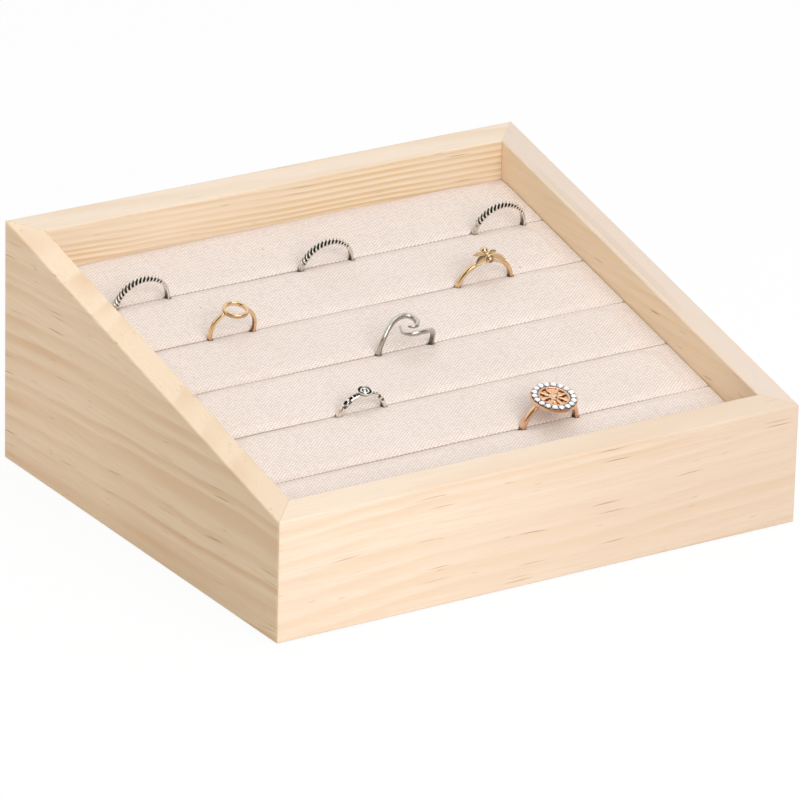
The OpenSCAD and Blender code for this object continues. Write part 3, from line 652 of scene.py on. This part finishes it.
def puffed(v):
    # lets the linen swell over the foam: each roll is a pressed cloth shell held at its foot.
    # The solver works on copies that are many times as large, where it is steady.
    scene = bpy.context.scene
    count = round(2 * padHalf / v["coarse"])
    columns = rollColumns([-padHalf + 2 * padHalf * k / count for k in range(1, count)], v)
    rests, shells = [], []
    for i in range(1, insert["rolls"] + 1):
        rest = rollPoints(i, columns, v)
        points, faces = skin(list(rest * mm * v["blowUp"]))
        shell = turnOutwards(addMesh("shell", points, faces, linenLook))
        held = shell.vertex_groups.new(name="held")
        for index, n in enumerate(rest[..., 2].ravel()):
            depth = -(n + insert["drop"])
            weight = clamped((depth - v["freeDepth"]) / (v["heldDepth"] - v["freeDepth"]))
            if weight > 0:
                held.add([index], weight, "REPLACE")
        cloth = shell.modifiers.new("cloth", "CLOTH")
        for key, value in v["cloth"].items():
            setattr(cloth.settings, key, value)
        cloth.settings.uniform_pressure_force = v["pressure"]
        cloth.settings.vertex_group_mass = "held"
        cloth.settings.effector_weights.gravity = 0
        cloth.collision_settings.use_collision = False
        cloth.collision_settings.use_self_collision = False
        rests.append(rest)
        shells.append(shell)
    for step in range(1, v["frames"] + 1):
        scene.frame_set(step)
    moves = []
    graph = bpy.context.evaluated_depsgraph_get()
    for rest, shell in zip(rests, shells):
        done = shell.evaluated_get(graph).to_mesh()
        where = np.zeros(len(done.vertices) * 3, np.float32)
        done.vertices.foreach_get("co", where)
        moves.append(where.reshape(rest.shape) / (mm * v["blowUp"]) - rest)
        data = shell.data
        bpy.data.objects.remove(shell)
        bpy.data.meshes.remove(data)
    scene.frame_set(1)
    return [column[0] for column in columns], moves


def seatsBeside(i):
    return [seat for seat in seats.values() if seat["slot"] in (i, i - 1)]


def padPlaces(i, v):
    # places along roll i, close together where a ring goes in
    places, x = [], -padHalf
    while x < padHalf:
        step = v["plain"]
        for seat in seatsBeside(i):
            foot = sqrt(seat["middle"] ** 2 - seat["rise"] ** 2)
            away = abs(x - seat["x"])
            if away < seat["middle"] + 2.5:
                step = min(step, v["nearRing"])
            if abs(away - foot) < 1.6:
                step = v["nearFoot"]
        x += step
        places.append(x)
    return places


def swollen(p, columns, at, moves, v):
    # adds the cloth's own moves, which were found at wider steps
    own = [column[0] for column in columns]
    moved = np.stack([[np.interp(own, at, moves[:, j, k]) for j in range(p.shape[1])]
                      for k in range(3)], -1).transpose(1, 0, 2)
    moved[..., 0] = 0
    moved[..., 1] = np.clip(moved[..., 1], -v["spread"], v["spread"])
    moved[..., 2] = v["rise"] * np.tanh(moved[..., 2] / v["rise"])
    return p + moved


def handLaid(p, i, phase, v):
    # hand-laid foam is never quite level, and the cloth pulls in a little where it turns down
    x, s, n = p[..., 0], p[..., 1], p[..., 2]
    level = np.exp(np.minimum(n + insert["drop"], 0) / 2)
    broad, short, slant, cross = v["waves"]
    wave = (np.sin(x / broad + phase[0]) + np.sin(x / short + s / slant + phase[1]) * 0.6
            + np.sin(s / cross + phase[2]) * 0.5)
    n = n + v["waveRise"] * wave * level
    s = s + v["waveShift"] * np.sin(x / 11 + phase[3]) * level
    # the foam stands a little higher to the right and eases down to the back board
    n = n + v["tilt"] * level * x / padHalf
    if i == insert["rolls"]:
        n = n - v["backDip"] * level * np.exp((s - s.max()) / 2.5)
    return x, s, n


def pressRings(x, s, n, i, v):
    # the foam gives way round each buried shank, and closes again inside the ring
    fit = insert["ringFit"]
    dusk = np.zeros(x.shape)
    for seat in seatsBeside(i):
        side = -1 if seat["slot"] == i else 1
        off = np.maximum(np.abs(s - slotPlace(seat["slot"])) - insert["slot"] / 2, 0)
        reach = np.hypot(x - seat["x"], n + insert["drop"] - seat["rise"])
        outside = (np.abs(reach - seat["middle"]) - seat["thick"] / 2 - fit) / v["giveEdge"]
        give = 0.5 + 0.5 * np.cos(pi * np.clip(outside, 0, 1))
        need = seat["wide"] / 2 + fit - insert["slot"] / 2
        s = s + side * give * need * np.exp(-off / (need * v["giveReach"]))
        # painted shade beside the shank, fading away from the slot
        dusk = np.maximum(dusk, give * np.exp(-off / v["duskReach"]))
    return np.stack([x, s, n], -1), dusk


def addPads(v):
    rng = np.random.default_rng(v["seed"])
    swell = puffed(v)
    for i in range(1, insert["rolls"] + 1):
        columns = rollColumns(padPlaces(i, v), v)
        p = rollPoints(i, columns, v)
        if swell:
            p = swollen(p, columns, swell[0], swell[1][i - 1], v)
        p, dusk = pressRings(*handLaid(p, i, rng.uniform(0, 6, 4), v), i, v)
        # painted shade: the deeper the cloth lies in a slot the darker, and beside the shanks as
        # well
        slotShade = np.clip((-insert["drop"] - 0.25 - p[..., 2]) / 0.9, 0, 1)
        slotShade = np.maximum(slotShade, dusk * v["slotDusk"])
        points, faces = skin(list(p))
        piece = turnOutwards(addMesh(f"pad_{i}", fromSlope(points), faces, linenLook,
                                     values={"slotShade": slotShade.ravel()}))
        rounder = piece.modifiers.new("rounder", "SUBSURF")
        rounder.levels = rounder.render_levels = 1
        seatPiece(piece, "insert", "linen", f"foam_roll_{i}", f"linen_cover_{i}")


addPads(padForm)
print("pads done")


def fullTurn(count):
    return [2 * pi * k / count for k in range(count)]


def turned(radius, turn, z):
    # a point at a bearing from the ring's top, clockwise as seen from the front
    return (radius * sin(turn), radius * cos(turn), z)


def rounded(t, power):
    # a full turn as a pair that traces a rounded oblong
    c, s = cos(t), sin(t)
    return (copysign(abs(c) ** power[0], c), copysign(abs(s) ** power[1], s))


def moved(rows, way):
    return [row + way for row in rows]


def swung(rows, angle, a=0, b=1):
    # turns a form by an angle in degrees, from axis a towards axis b
    c, s = cos(radians(angle)), sin(radians(angle))
    rows = [row.copy() for row in rows]
    for row in rows:
        row[:, a], row[:, b] = row[:, a] * c - row[:, b] * s, row[:, a] * s + row[:, b] * c
    return rows


def loop(radius, height, sides, start=0, middle=(0, 0)):
    return np.array([(middle[0] + radius * cos(t + start), middle[1] + radius * sin(t + start),
                      height) for t in fullTurn(sides)])


def lathe(profile, sides=48):
    # a turned form: rows round the upright axis, from (radius, height) pairs
    return [loop(r, h, sides) for r, h in profile]


def ballRows(radius, sides=20, levels=10, start=-1, height=None, tip=0.02):
    # a ball, or from start 0 a dome of its own height
    arcs = [pi / 2 * (start + (1 - start) * k / levels) for k in range(levels + 1)]
    return lathe([(radius * max(tip, cos(a)), (height or radius) * sin(a)) for a in arcs], sides)


def innerShade(turn):
    # painted shade: the inside of a shank is darkened, the more so away from the top
    return 0.85 * clamped((0.75 - cos(turn)) / 0.5)


def plainShank(seat, power=(0.75, 0.6), around=18, flat=None):
    # goes round a section of a plain shank, whose top may be filed flat at a height
    def section(turn):
        for t in fullTurn(around):
            out, across = rounded(t, power)
            radius = seat["bore"] / 2 + seat["thick"] / 2 * (1 + out)
            if flat and cos(turn) > 0.5:
                radius = min(radius, flat / cos(turn))
            # painted shade on the inside of the shank
            yield (turned(radius, turn, -across * seat["wide"] / 2),
                   innerShade(turn) if out < -0.7 else 0)
    return section


def addPiece(ring, name, node, finish, skins, height=None, lean=0, **how):
    # one piece of a ring in the ring's axes, or in a head's own (right, back, up) at a height
    points = np.concatenate([points for points, faces in skins])
    faces, base = [], 0
    for own, form in skins:
        faces += [tuple(i + base for i in face) for face in form]
        base += len(own)
    if height is not None:
        points = swung([points[:, (0, 2, 1)] * (1, 1, -1) + (0, height, 0)], -lean)[0]
    points = fromRing(points, seats[ring])
    piece = addMesh(f"{ring}_{name}", points, faces, finishes[finish], **how)
    seatPiece(turnOutwards(piece), ring, finish, f"{ring}_{node}" if node else ring)


def addBand(ring, name, node, finish, places, section, closed=True, **how):
    # the same from a function that yields points, and how dull each is, round one section
    made = [list(section(place)) for place in places]
    rows = [np.array([point for point, dusk in row], float) for row in made]
    addPiece(ring, name, node, finish, [skin(rows, closed)],
             values={"low": [dusk for row in made for point, dusk in row]}, **how)


def ropeRing(name, turnLeft):
    # slanted bars with round tops over the upper arc, and black between them
    v = dict(ridge=0.8, ridges=15, arc=118, steps=16, plain=70, slant=0.72, dome=0.4, across=17,
             gap=0.66, soft=0.22, floor=0.72, lip=0.2, dull=0.24, shoulder=0.8, fade=0.03)
    seat = seats[name]
    bore, half = seat["bore"] / 2, seat["wide"] / 2
    arc, lean = radians(v["arc"]), radians(turnLeft)
    count = v["steps"] * v["ridges"]
    turns = [arc * (k / count - 0.5) for k in range(count + 1)]
    turns += [arc / 2 + (2 * pi - arc) * k / v["plain"] for k in range(1, v["plain"])]

    def section(turn):
        at = turn - lean
        ends = min(1, (arc / 2 - abs(turn)) / v["fade"]) if abs(turn) <= arc / 2 else 0
        # painted shade on the inside of the band
        for across in (-0.92, -0.5, 0, 0.5, 0.92):
            yield turned(bore + 0.08 * across * across, at, across * half), innerShade(at)
        # the flat sides are bright along the bore, and the grooves run down into them
        yield turned(bore + v["lip"], at, half * 0.98), 0
        for k in range(v["across"]):
            across = 1 - 2 * k / (v["across"] - 1)
            phase = pi * (v["ridges"] * (turn / arc + 0.5) + v["slant"] * across)
            bar = clamped((abs(sin(phase)) - v["gap"]) / v["soft"])
            bar = bar * bar * (3 - 2 * bar)
            rise = seat["thick"] * (1 - v["dome"] * across * across)
            rise *= 1 - (1 - v["floor"]) * ends
            rise += v["ridge"] * bar * (v["shoulder"] if abs(across) > 0.93 else 1) * ends
            yield (turned(bore + rise, at, across * half),
                   (1 - bar) ** 0.7 * ends + v["dull"] * (1 - ends))
        yield turned(bore + v["lip"], at, -half * 0.98), 0

    addBand(name, "band", None, "oxidised_silver", turns, section)


for name, turnLeft in (("rope_ring_left", 20), ("rope_ring_middle", 12), ("rope_ring_right", 4)):
    ropeRing(name, turnLeft)


def circleRing():
    seat = seats["circle_ring"]
    v = dict(wide=8, wall=1.1, height=1.4, groove=0.16, grooveHalf=0.22, steps=90, around=28)
    # an open shank, whose ends are buried in the circle
    start = asin((v["wide"] / 2 - 0.15) / seat["middle"])
    turns = [start + (2 * pi - 2 * start) * k / v["steps"] for k in range(v["steps"] + 1)]
    addBand("circle_ring", "band", "shank", "gold", turns, plainShank(seat), closed=False)
    foot = sqrt((seat["bore"] / 2) ** 2 - (v["wide"] / 2) ** 2) + seat["thick"] / 2

    def section(turn):
        for t in fullTurn(v["around"]):
            out, up = rounded(t, (0.75, 0.75))
            # a groove runs round the outside, between two bead-like edges, with painted shade in
            # it
            dip = v["groove"] * exp(-((up + 0.1) / v["grooveHalf"]) ** 2) if out > 0 else 0
            radius = v["wide"] / 2 - v["wall"] / 2 * (1 - out) - dip
            yield ((radius * sin(turn), foot + v["height"] / 2 * (1 + up),
                    radius * cos(turn)), 0.8 * dip / v["groove"])

    addBand("circle_ring", "circle", "head", "gold", fullTurn(72), section)


def bladeShell(v, around=14):
    # a pointed oval blade with a raised rim, a vein and a hollow between them: rows of points
    rows = []
    for k in range(v["steps"] + 1):
        t = k / v["steps"]
        half = v["wide"] / 2 * max(0.04, sin(pi * t ** v["fullness"])) ** 0.8
        slim = max(0.06, sin(pi * t)) ** 0.5
        row = []
        for a in fullTurn(around):
            across, up = cos(a), sin(a)
            height = slim * v["thick"] / 2 * copysign(abs(up) ** 0.7, up)
            height += slim * v["cup"] * across * across
            if up > 0:
                height += slim * v["vein"] * exp(-(across / 0.2) ** 2)
            row.append((v["length"] * (t - 0.5), across * half, height))
        rows.append(np.array(row))
    return rows


def ribDip(v, u):
    return (0.5 + 0.5 * cos(2 * pi * v["ribs"] * u)) ** 3


def budRows(v):
    # a closed flower: a pointed tip, ribs round its body and a neck, turned about its length
    rows = []
    for k in range(v["levels"] + 1):
        u = k / v["levels"]
        body = sin(pi * min(1, 0.06 + 0.94 * u) ** 0.8) ** 0.6 if 0 < u < 1 else 0.05
        body *= v["foot"] + (1 - v["foot"]) * u
        r = v["wide"] / 2 * max(0.03, body * (1 - v["rib"] * ribDip(v, u)))
        y = v["length"] * (u - v["middle"])
        rows.append(np.array([(r * cos(t), y, r * sin(t)) for t in fullTurn(v["around"])]))
    return rows


def leafRows(v, side, sweep):
    # a leaf that starts at the flower and points to one side, its upper edge raised
    rows = moved(bladeShell(v), (v["length"] / 2, 0, 0))
    rows = swung(swung(rows, -v["droop"], 0, 2), v["roll"], 1, 2)
    rows = swung(moved(rows, (v["out"], 0, 0)), sweep)
    return [row * (side, 1, 1) + (0, 0, v["up"]) for row in rows]


def flowerRing():
    seat = seats["flower_ring"]
    v = dict(lean=-3, turn=-4, lift=8, up=0.85, leafSweep=-30, smallSweep=21, dull=0.85,
             hollowShade=0.45,
             knob=1.25, knobAt=(0, 2.15, 1.25), beadUp=0.75,
             beads=((-1.25, -1.15, 0.42), (1.2, -1.3, 0.46), (-1.55, -0.35, 0.36),
                    (1.25, 0.85, 0.4)))
    bud = dict(length=4.5, wide=3.4, foot=0.74, middle=0.64, rib=0.24, ribs=4, levels=36,
               around=24)
    leaf = dict(length=5.2, wide=2.5, thick=0.36, cup=0.5, vein=0.1, fullness=0.85, steps=22,
                roll=20, droop=9, out=0.75, up=0.95)
    small = {**leaf, "length": 3.7, "wide": 1.8, "up": 1.05}
    addBand("flower_ring", "band", "shank", "gold", fullTurn(110), plainShank(seat, (0.85, 0.8)))
    # small bright beads stand at the flower's foot, where the leaves meet it
    shells = [moved(swung(budRows(bud), v["lift"], 1, 2), (0, 0, v["up"])),
              moved(ballRows(v["knob"]), v["knobAt"])]
    shells += [moved(ballRows(r, 12, 6), (x, y, v["beadUp"])) for x, y, r in v["beads"]]
    # painted shade in the dips between the bud's ribs
    low = [v["dull"] * ribDip(bud, k / bud["levels"])
           for k in range(bud["levels"] + 1) for t in range(bud["around"])]
    low += [0] * sum(len(row) for rows in shells[1:] for row in rows)
    addPiece("flower_ring", "bud", "flower", "gold",
             [skin(swung(rows, v["turn"])) for rows in shells], seat["top"], v["lean"],
             values={"low": low})
    shells = [swung(leafRows(form, side, sweep), v["turn"])
              for side in (-1, 1)
              for form, sweep in ((leaf, v["leafSweep"]), (small, v["smallSweep"]))]
    # painted shade in the hollows between the vein and the rim
    hollow = [v["hollowShade"] if sin(t) > 0.1 and 0.2 < abs(cos(t)) < 0.85 else 0
              for t in fullTurn(14)]
    addPiece("flower_ring", "leaf_pairs", "leaves", "gold",
             [skin(rows) for rows in shells], seat["top"], v["lean"], sharp=50,
             values={"low": hollow * sum(len(rows) for rows in shells)})


def smoothLine(points, steps):
    # a line through the points with an equal number of steps between each two
    p = np.array(points, float)
    last = len(p) - 1
    out = []
    for i in range(last):
        a, b, c, d = p[max(i - 1, 0)], p[i], p[i + 1], p[min(i + 2, last)]
        for k in range(steps):
            t = k / steps
            out.append(b + ((c - a) * t + (2 * a - 5 * b + 4 * c - d) * t * t
                            + (3 * b - a - 3 * c + d) * t ** 3) / 2)
    out.append(p[last])
    return np.array(out)


def waveRing():
    # one wire: it crosses over the top, curls back on itself and runs out to a blunt tip
    seat = seats["wave_ring"]
    v = dict(sweep=5.8, curl=3.4, steps=7, taper=18, tip=0.3, crest=350, heavy=0.14)
    t, c = v["sweep"], v["curl"]
    # bearings in degrees and how far the wire lies to the back there
    route = smoothLine([
        (-22, -0.02 * t), (-27, -0.5 * t), (-19, -0.88 * t), (-6, -t), (10, -0.98 * t),
        (26, -0.82 * t), (45, -0.5 * t), (68, -0.15 * t), (90, 0), (135, 0), (180, 0), (225, 0),
        (270, 0), (300, 0.15 * c), (319, 0.5 * c), (336, 0.85 * c), (353, c), (367, 0.9 * c),
        (375, 0.45 * c), (374, -0.15 * c), (366, -0.65 * c), (357, -0.78 * c), (349, -0.55 * c)],
        v["steps"])
    # half outlines of the wire: a narrow flat on top, wide bevels and a flat inside
    outline = [(-0.9, -0.7), (-0.9, 0), (-0.9, 0.7), (-0.55, 0.98), (-0.05, 1), (0.45, 0.86),
               (0.86, 0.5), (0.95, 0.3), (0.95, -0.3), (0.86, -0.5), (0.45, -0.86), (-0.05, -1),
               (-0.55, -0.98)]
    line = np.array([turned(seat["middle"], radians(turn), -up) for turn, up in route])
    last = len(line) - 1

    def section(k):
        ahead = line[min(k + 1, last)] - line[max(k - 1, 0)]
        ahead /= np.linalg.norm(ahead)
        out = line[k] * (1, 1, 0) / seat["middle"]
        lift = out - out.dot(ahead) * ahead
        lift /= np.linalg.norm(lift)
        side = np.cross(ahead, lift)
        # the wire is drawn out to points and is heaviest over the crest
        slim = min(1, v["tip"] + (1 - v["tip"]) * min(k, last - k) / v["taper"])
        slim *= 1 + v["heavy"] * exp(-((route[k][0] - v["crest"]) / 22) ** 2)
        # painted shade on the wire's inside, and a little on its sides
        for a, b in outline:
            yield (line[k] + seat["thick"] / 2 * slim * (a * lift + b * side),
                   0.9 * innerShade(radians(route[k][0])) if a < -0.5 else 0.25 * (abs(b) > 0.9))

    addBand("wave_ring", "wire", None, "brushed_silver", range(last + 1), section, closed=False,
            sharp=38)


def targetRing():
    seat = seats["target_ring"]
    v = dict(boss=4.8, height=0.6, pocket=0.9, bar=0.5, deep=0.28, loop=3.2, loopWall=0.39,
             loopRise=0.12, dome=0.42, across=27, step=0.09)
    loopWay = 2 * (v["pocket"] + v["bar"]) + v["loop"] / 2
    bore, top, halfWide = seat["bore"] / 2, seat["top"], seat["wide"] / 2

    def relief(way, z):
        # height over the plain shank at a way from the boss's edge, and how black it is there
        if way < 0:
            return 0, 0
        if way < 0.35 and abs(z) < 0.6:
            return -0.2, 1
        for start in (v["bar"], 2 * v["bar"] + v["pocket"]):
            if start < way < start + v["pocket"] and abs(z) < v["pocket"] / 2 + 0.08:
                return -v["deep"], 1
        u = abs(way - loopWay) / (v["loop"] / 2)
        if u < 1:
            if abs(z) < halfWide * (1 - (u / 0.68) ** 2) - v["loopWall"]:
                return -0.15, 1
            if abs(z) < halfWide * (1 - u * u) + 0.04:
                return v["loopRise"], 0
            return -0.06, 0.85
        return 0, 0

    def section(turn):
        away = min(turn, 2 * pi - turn)
        for z in np.linspace(halfWide, -halfWide, v["across"]):
            height, black = relief(away * top - v["boss"] / 2, z)
            yield turned(top - v["dome"] * (z / halfWide) ** 4 + height, turn, z), black
        # the black runs on down both sides, which are bright again along the bore
        sides = ((0.5, black), (0.2, 0))
        for height, dusk in sides:
            yield turned(bore + height, turn, -halfWide * 0.99), dusk
        # painted shade on the inside of the shank
        for z in (-0.85, -0.4, 0, 0.4, 0.85):
            yield turned(bore + 0.07 * z * z, turn, z * halfWide), innerShade(turn)
        for height, dusk in reversed(sides):
            yield turned(bore + height, turn, halfWide * 0.99), dusk

    # close steps over the shoulders, wide ones below
    ways = np.arange(0, v["boss"] / 2 + loopWay + v["loop"] / 2 + 0.2, v["step"])
    turns = [way / top for way in ways]
    rest = turns[-1]
    turns += [rest + (2 * pi - 2 * rest) * k / 90 for k in range(1, 90)]
    turns += [2 * pi - way / top for way in ways[:0:-1]]
    addBand("target_ring", "band", "shank", "oxidised_silver", turns, section, sharp=45)
    # the boss: radius and height as shares of its own, and how black it is there
    r, h = v["boss"] / 2, v["height"]
    profile = [(0.7, -0.5 / h, 1), (0.96, 0.25, 0.8), (1, 0.6, 0.1), (1, 0.9, 0), (0.97, 1, 0),
               (0.89, 1, 0), (0.86, 0.3, 1), (0.59, 0.3, 1), (0.56, 0.95, 0), (0.53, 1, 0),
               (0.43, 1, 0), (0.4, 0.95, 0), (0.38, 0.35, 1), (0.21, 0.35, 1), (0.18, 0.9, 0),
               (0.1, 1.1, 0), (0.02, 1.14, 0)]
    addPiece("target_ring", "rosette", "boss", "oxidised_silver",
             [skin(lathe([(a * r, b * h) for a, b, dark in profile]))], top,
             values={"low": [dark for a, b, dark in profile for t in range(48)]})


def haloRing():
    seat = seats["halo_ring"]
    v = dict(wide=14.3, height=1.3, floor=0.3, edge=0.25, stones=18, stone=1.95, ledge=0.7,
             rosette=0.6, rays=8, bead=0.24, beadHeight=0.62, beadPale=0.75, shade=0.7)
    base = seat["bore"] / 2 + v["floor"]
    addBand("halo_ring", "band", "shank", "rose_gold", fullTurn(130),
            plainShank(seat, around=20, flat=base))
    # the plate: a round rim with a channel for the crystals and a bright inner lip. Each place is
    # (radius, height, pale, dull), where dull is painted shade on the wall and ledge of the
    # opening, and pale metal runs under and between the crystals.
    r, h = v["wide"] / 2, v["height"]
    openR = r - v["stone"] - 2 * v["edge"]
    ledgeR = openR - v["ledge"]
    ring = r - v["edge"] - v["stone"] / 2
    low = h - v["rosette"]
    plate = [(ledgeR, 0, 0, 0), (r - 0.2, 0, 0, 0), (r - 0.05, 0.1, 0, 0), (r, 0.3, 0, 0),
             (r, h - 0.3, 0, 0), (r - 0.05, h - 0.18, 0, 0), (r - 0.13, h - 0.17, 0.2, 0),
             (ring + 0.4, h - 0.5, 1, 0), (ring - 0.3, h - 0.5, 1, 0),
             (openR + 0.22, h - 0.42, 1, 0), (openR + 0.2, h - 0.1, 0.6, 0),
             (openR + 0.12, h, 0, 0), (openR + 0.02, h, 0, 0), (openR, h - 0.08, 0, 0),
             (openR, low, 0, v["shade"]), (ledgeR, low, 0, v["shade"]), (ledgeR, 0, 0, v["shade"])]
    skins = [skin(lathe([place[:2] for place in plate], 96), capped=False)]
    pale, dull = ([place[k] for place in plate for t in range(96)] for k in (2, 3))
    for k in range(v["stones"]):
        a = 2 * pi * (k + 0.5) / v["stones"]
        for radius in (ring + 0.72, ring - 0.72):
            bead = skin(moved(ballRows(v["bead"], 8, 4, 0, v["beadHeight"], 0.03),
                              (radius * cos(a), radius * sin(a), h - 0.5)))
            skins.append(bead)
            pale += [v["beadPale"]] * len(bead[0])
            dull += [0] * len(bead[0])
    addPiece("halo_ring", "plate", "setting", "rose_gold", skins, base, sharp=50,
             values={"pale": pale, "low": dull})
    # crystals: a flat table, a crown of facets and a short cone below, each level of a stone as
    # (radius, height, twist, grey)
    cut = ((0.12, -0.8, 0, 1), (0.98, -0.05, 0, 1), (0.99, 0.02, 0.5, 0.8), (0.84, 0.2, 0, 0.1),
           (0.56, 0.36, 0.5, 0))
    skins = [skin([loop(radius * v["stone"] / 2, h + level, 8, a + twist * pi / 8,
                        (ring * cos(a), ring * sin(a))) for radius, level, twist, grey in cut])
             for a in fullTurn(v["stones"])]
    # the grey is painted shade round the girdle and below it
    grey = [place[3] for place in cut for t in range(8)] * v["stones"]
    addPiece("halo_ring", "stones", "crystals", "crystal", skins, base,
             smooth=False, values={"low": grey})
    # the rosette: petals with openings between them round a low dome
    r = openR - 0.04
    bossR, band = r * 0.24, r - 0.45
    shells = [lathe([(band, 0.05), (band, 0.5), (band + 0.1, 0.6), (r, 0.6), (r, 0.02),
                     (band, 0.02)], 64),
              lathe([(1.5 * bossR, 0.02), (1.42 * bossR, 0.5), (bossR, 0.7), (0.8 * bossR, 0.95),
                     (0.4 * bossR, 1.05), (0.02, 1.08)], 32)]
    petal = dict(length=band - bossR + 0.5, wide=1.2, thick=0.5, cup=0.0, vein=0.14, fullness=1,
                 steps=12)
    shells += [swung(moved(bladeShell(petal), (bossR + petal["length"] / 2, 0, 0.38)),
                     360 / v["rays"] * k) for k in range(v["rays"])]
    addPiece("halo_ring", "flower", "rosette", "rose_gold",
             [skin(rows) for rows in shells], base + low, sharp=50)


for addRing in (circleRing, flowerRing, waveRing, targetRing, haloRing):
    addRing()
print("rings done")


def showsBackdrop(look):
    # 1 on rays that show the backdrop itself: to the lens, mirrored in metal or through glass
    seen, mirrored, through = (look.node("LightPath", None, None, out) for out in (
        "Is Camera Ray", "Is Glossy Ray", "Is Transmission Ray"))
    return look.maths("MAXIMUM", look.maths("MAXIMUM", seen, mirrored), through)


def addFloor():
    v = dict(half=4.0, level=-0.0004, tone=(0.90, 0.895, 0.89), grain=(0.88, 0.875, 0.87),
             grainStrength=0.02, white=(1, 1, 1), bright=1.0, keep=0.93)
    look = Look("floor")
    grain = look.noise(look.place(), 0.02, 2, 0.5, 3)
    plain = look.node("BsdfPrincipled", None, {
        "Base Color": look.mix(look.step(grain, 0.3, 0.7) * v["grainStrength"], v["tone"],
                               v["grain"]),
        "Roughness": 0.9, "Specular IOR Level": 0.05})
    glow = look.node("Emission", None, {"Color": v["white"], "Strength": v["bright"]})
    mixed = look.blend(showsBackdrop(look) * v["keep"], plain, glow)
    # from below it is clear, so that the underside can be seen
    below = look.node("NewGeometry", None, None, "Backfacing")
    mixed = look.blend(below, mixed, look.node("BsdfTransparent"))
    look.node("OutputMaterial", None, {"Surface": mixed})
    corners = [(x * v["half"], y * v["half"], v["level"])
               for x, y in ((-1, -1), (1, -1), (1, 1), (-1, 1))]
    addMesh("floor", corners, [(0, 1, 2, 3)], look.owner, smooth=False)


addFloor()


def addWorld():
    # a white tent that is dimmer low down lights the object, before a white backdrop.
    # Metal and crystal mirror that backdrop, and the dim room on the lens's side of it.
    v = dict(low=((1, 0.97, 0.94), 0.42), high=((0.98, 0.99, 1), 0.77),
             side=((1, 0.86, 0.70), 0.48), room=((1, 0.93, 0.85), 0.10), white=((1, 1, 1), 1.0))
    look = Look("world", bpy.data.worlds.new("studio"))
    bpy.context.scene.world = look.owner
    light = {name: look.node("Background", None, {"Color": tint, "Strength": strength})
             for name, (tint, strength) in v.items()}
    right, deep, up = look.split(look.node("TexCoord", None, None, "Generated"))
    tent = look.blend(look.step(up - deep * 0.35, -0.1, 0.7), light["low"], light["high"])
    flank = look.step(-right, 0.2, 0.9) * (1 - look.step(up, 0.3, 0.8))
    tent = look.blend(flank, tent, light["side"])
    mirrored = look.node("LightPath", None, None, "Is Glossy Ray")
    roomSide = mirrored * (1 - look.step(deep + right * 0.25 - up * 0.15, -0.35, 0.15))
    backdrop = look.blend(roomSide, light["white"], light["room"])
    look.node("OutputWorld", None, {"Surface": look.blend(showsBackdrop(look), tent, backdrop)})


addWorld()


def addLamp(name, v):
    data = bpy.data.lights.new(name, "AREA")
    data.shape = "RECTANGLE"
    data.size, data.size_y = v["size"]
    data.energy = v["power"]
    data.color = v["tint"]
    lamp = addObject(name, data)
    target = Vector((0, 0, 0.04))
    lamp.location = target + Vector(v["way"]).normalized() * v["distance"]
    lamp.rotation_euler = (target - lamp.location).to_track_quat("-Z", "Y").to_euler()
    lamp.visible_camera = False


addLamp("frontLamp", dict(way=(-0.12, -1, 0.6), distance=1.1, size=(0.9, 0.6), power=6.3,
                          tint=(1, 0.985, 0.975)))
addLamp("topLamp", dict(way=(0.1, -0.2, 1), distance=1.2, size=(1.0, 1.0), power=3.2,
                        tint=(1, 0.99, 0.98)))
print("studio done")
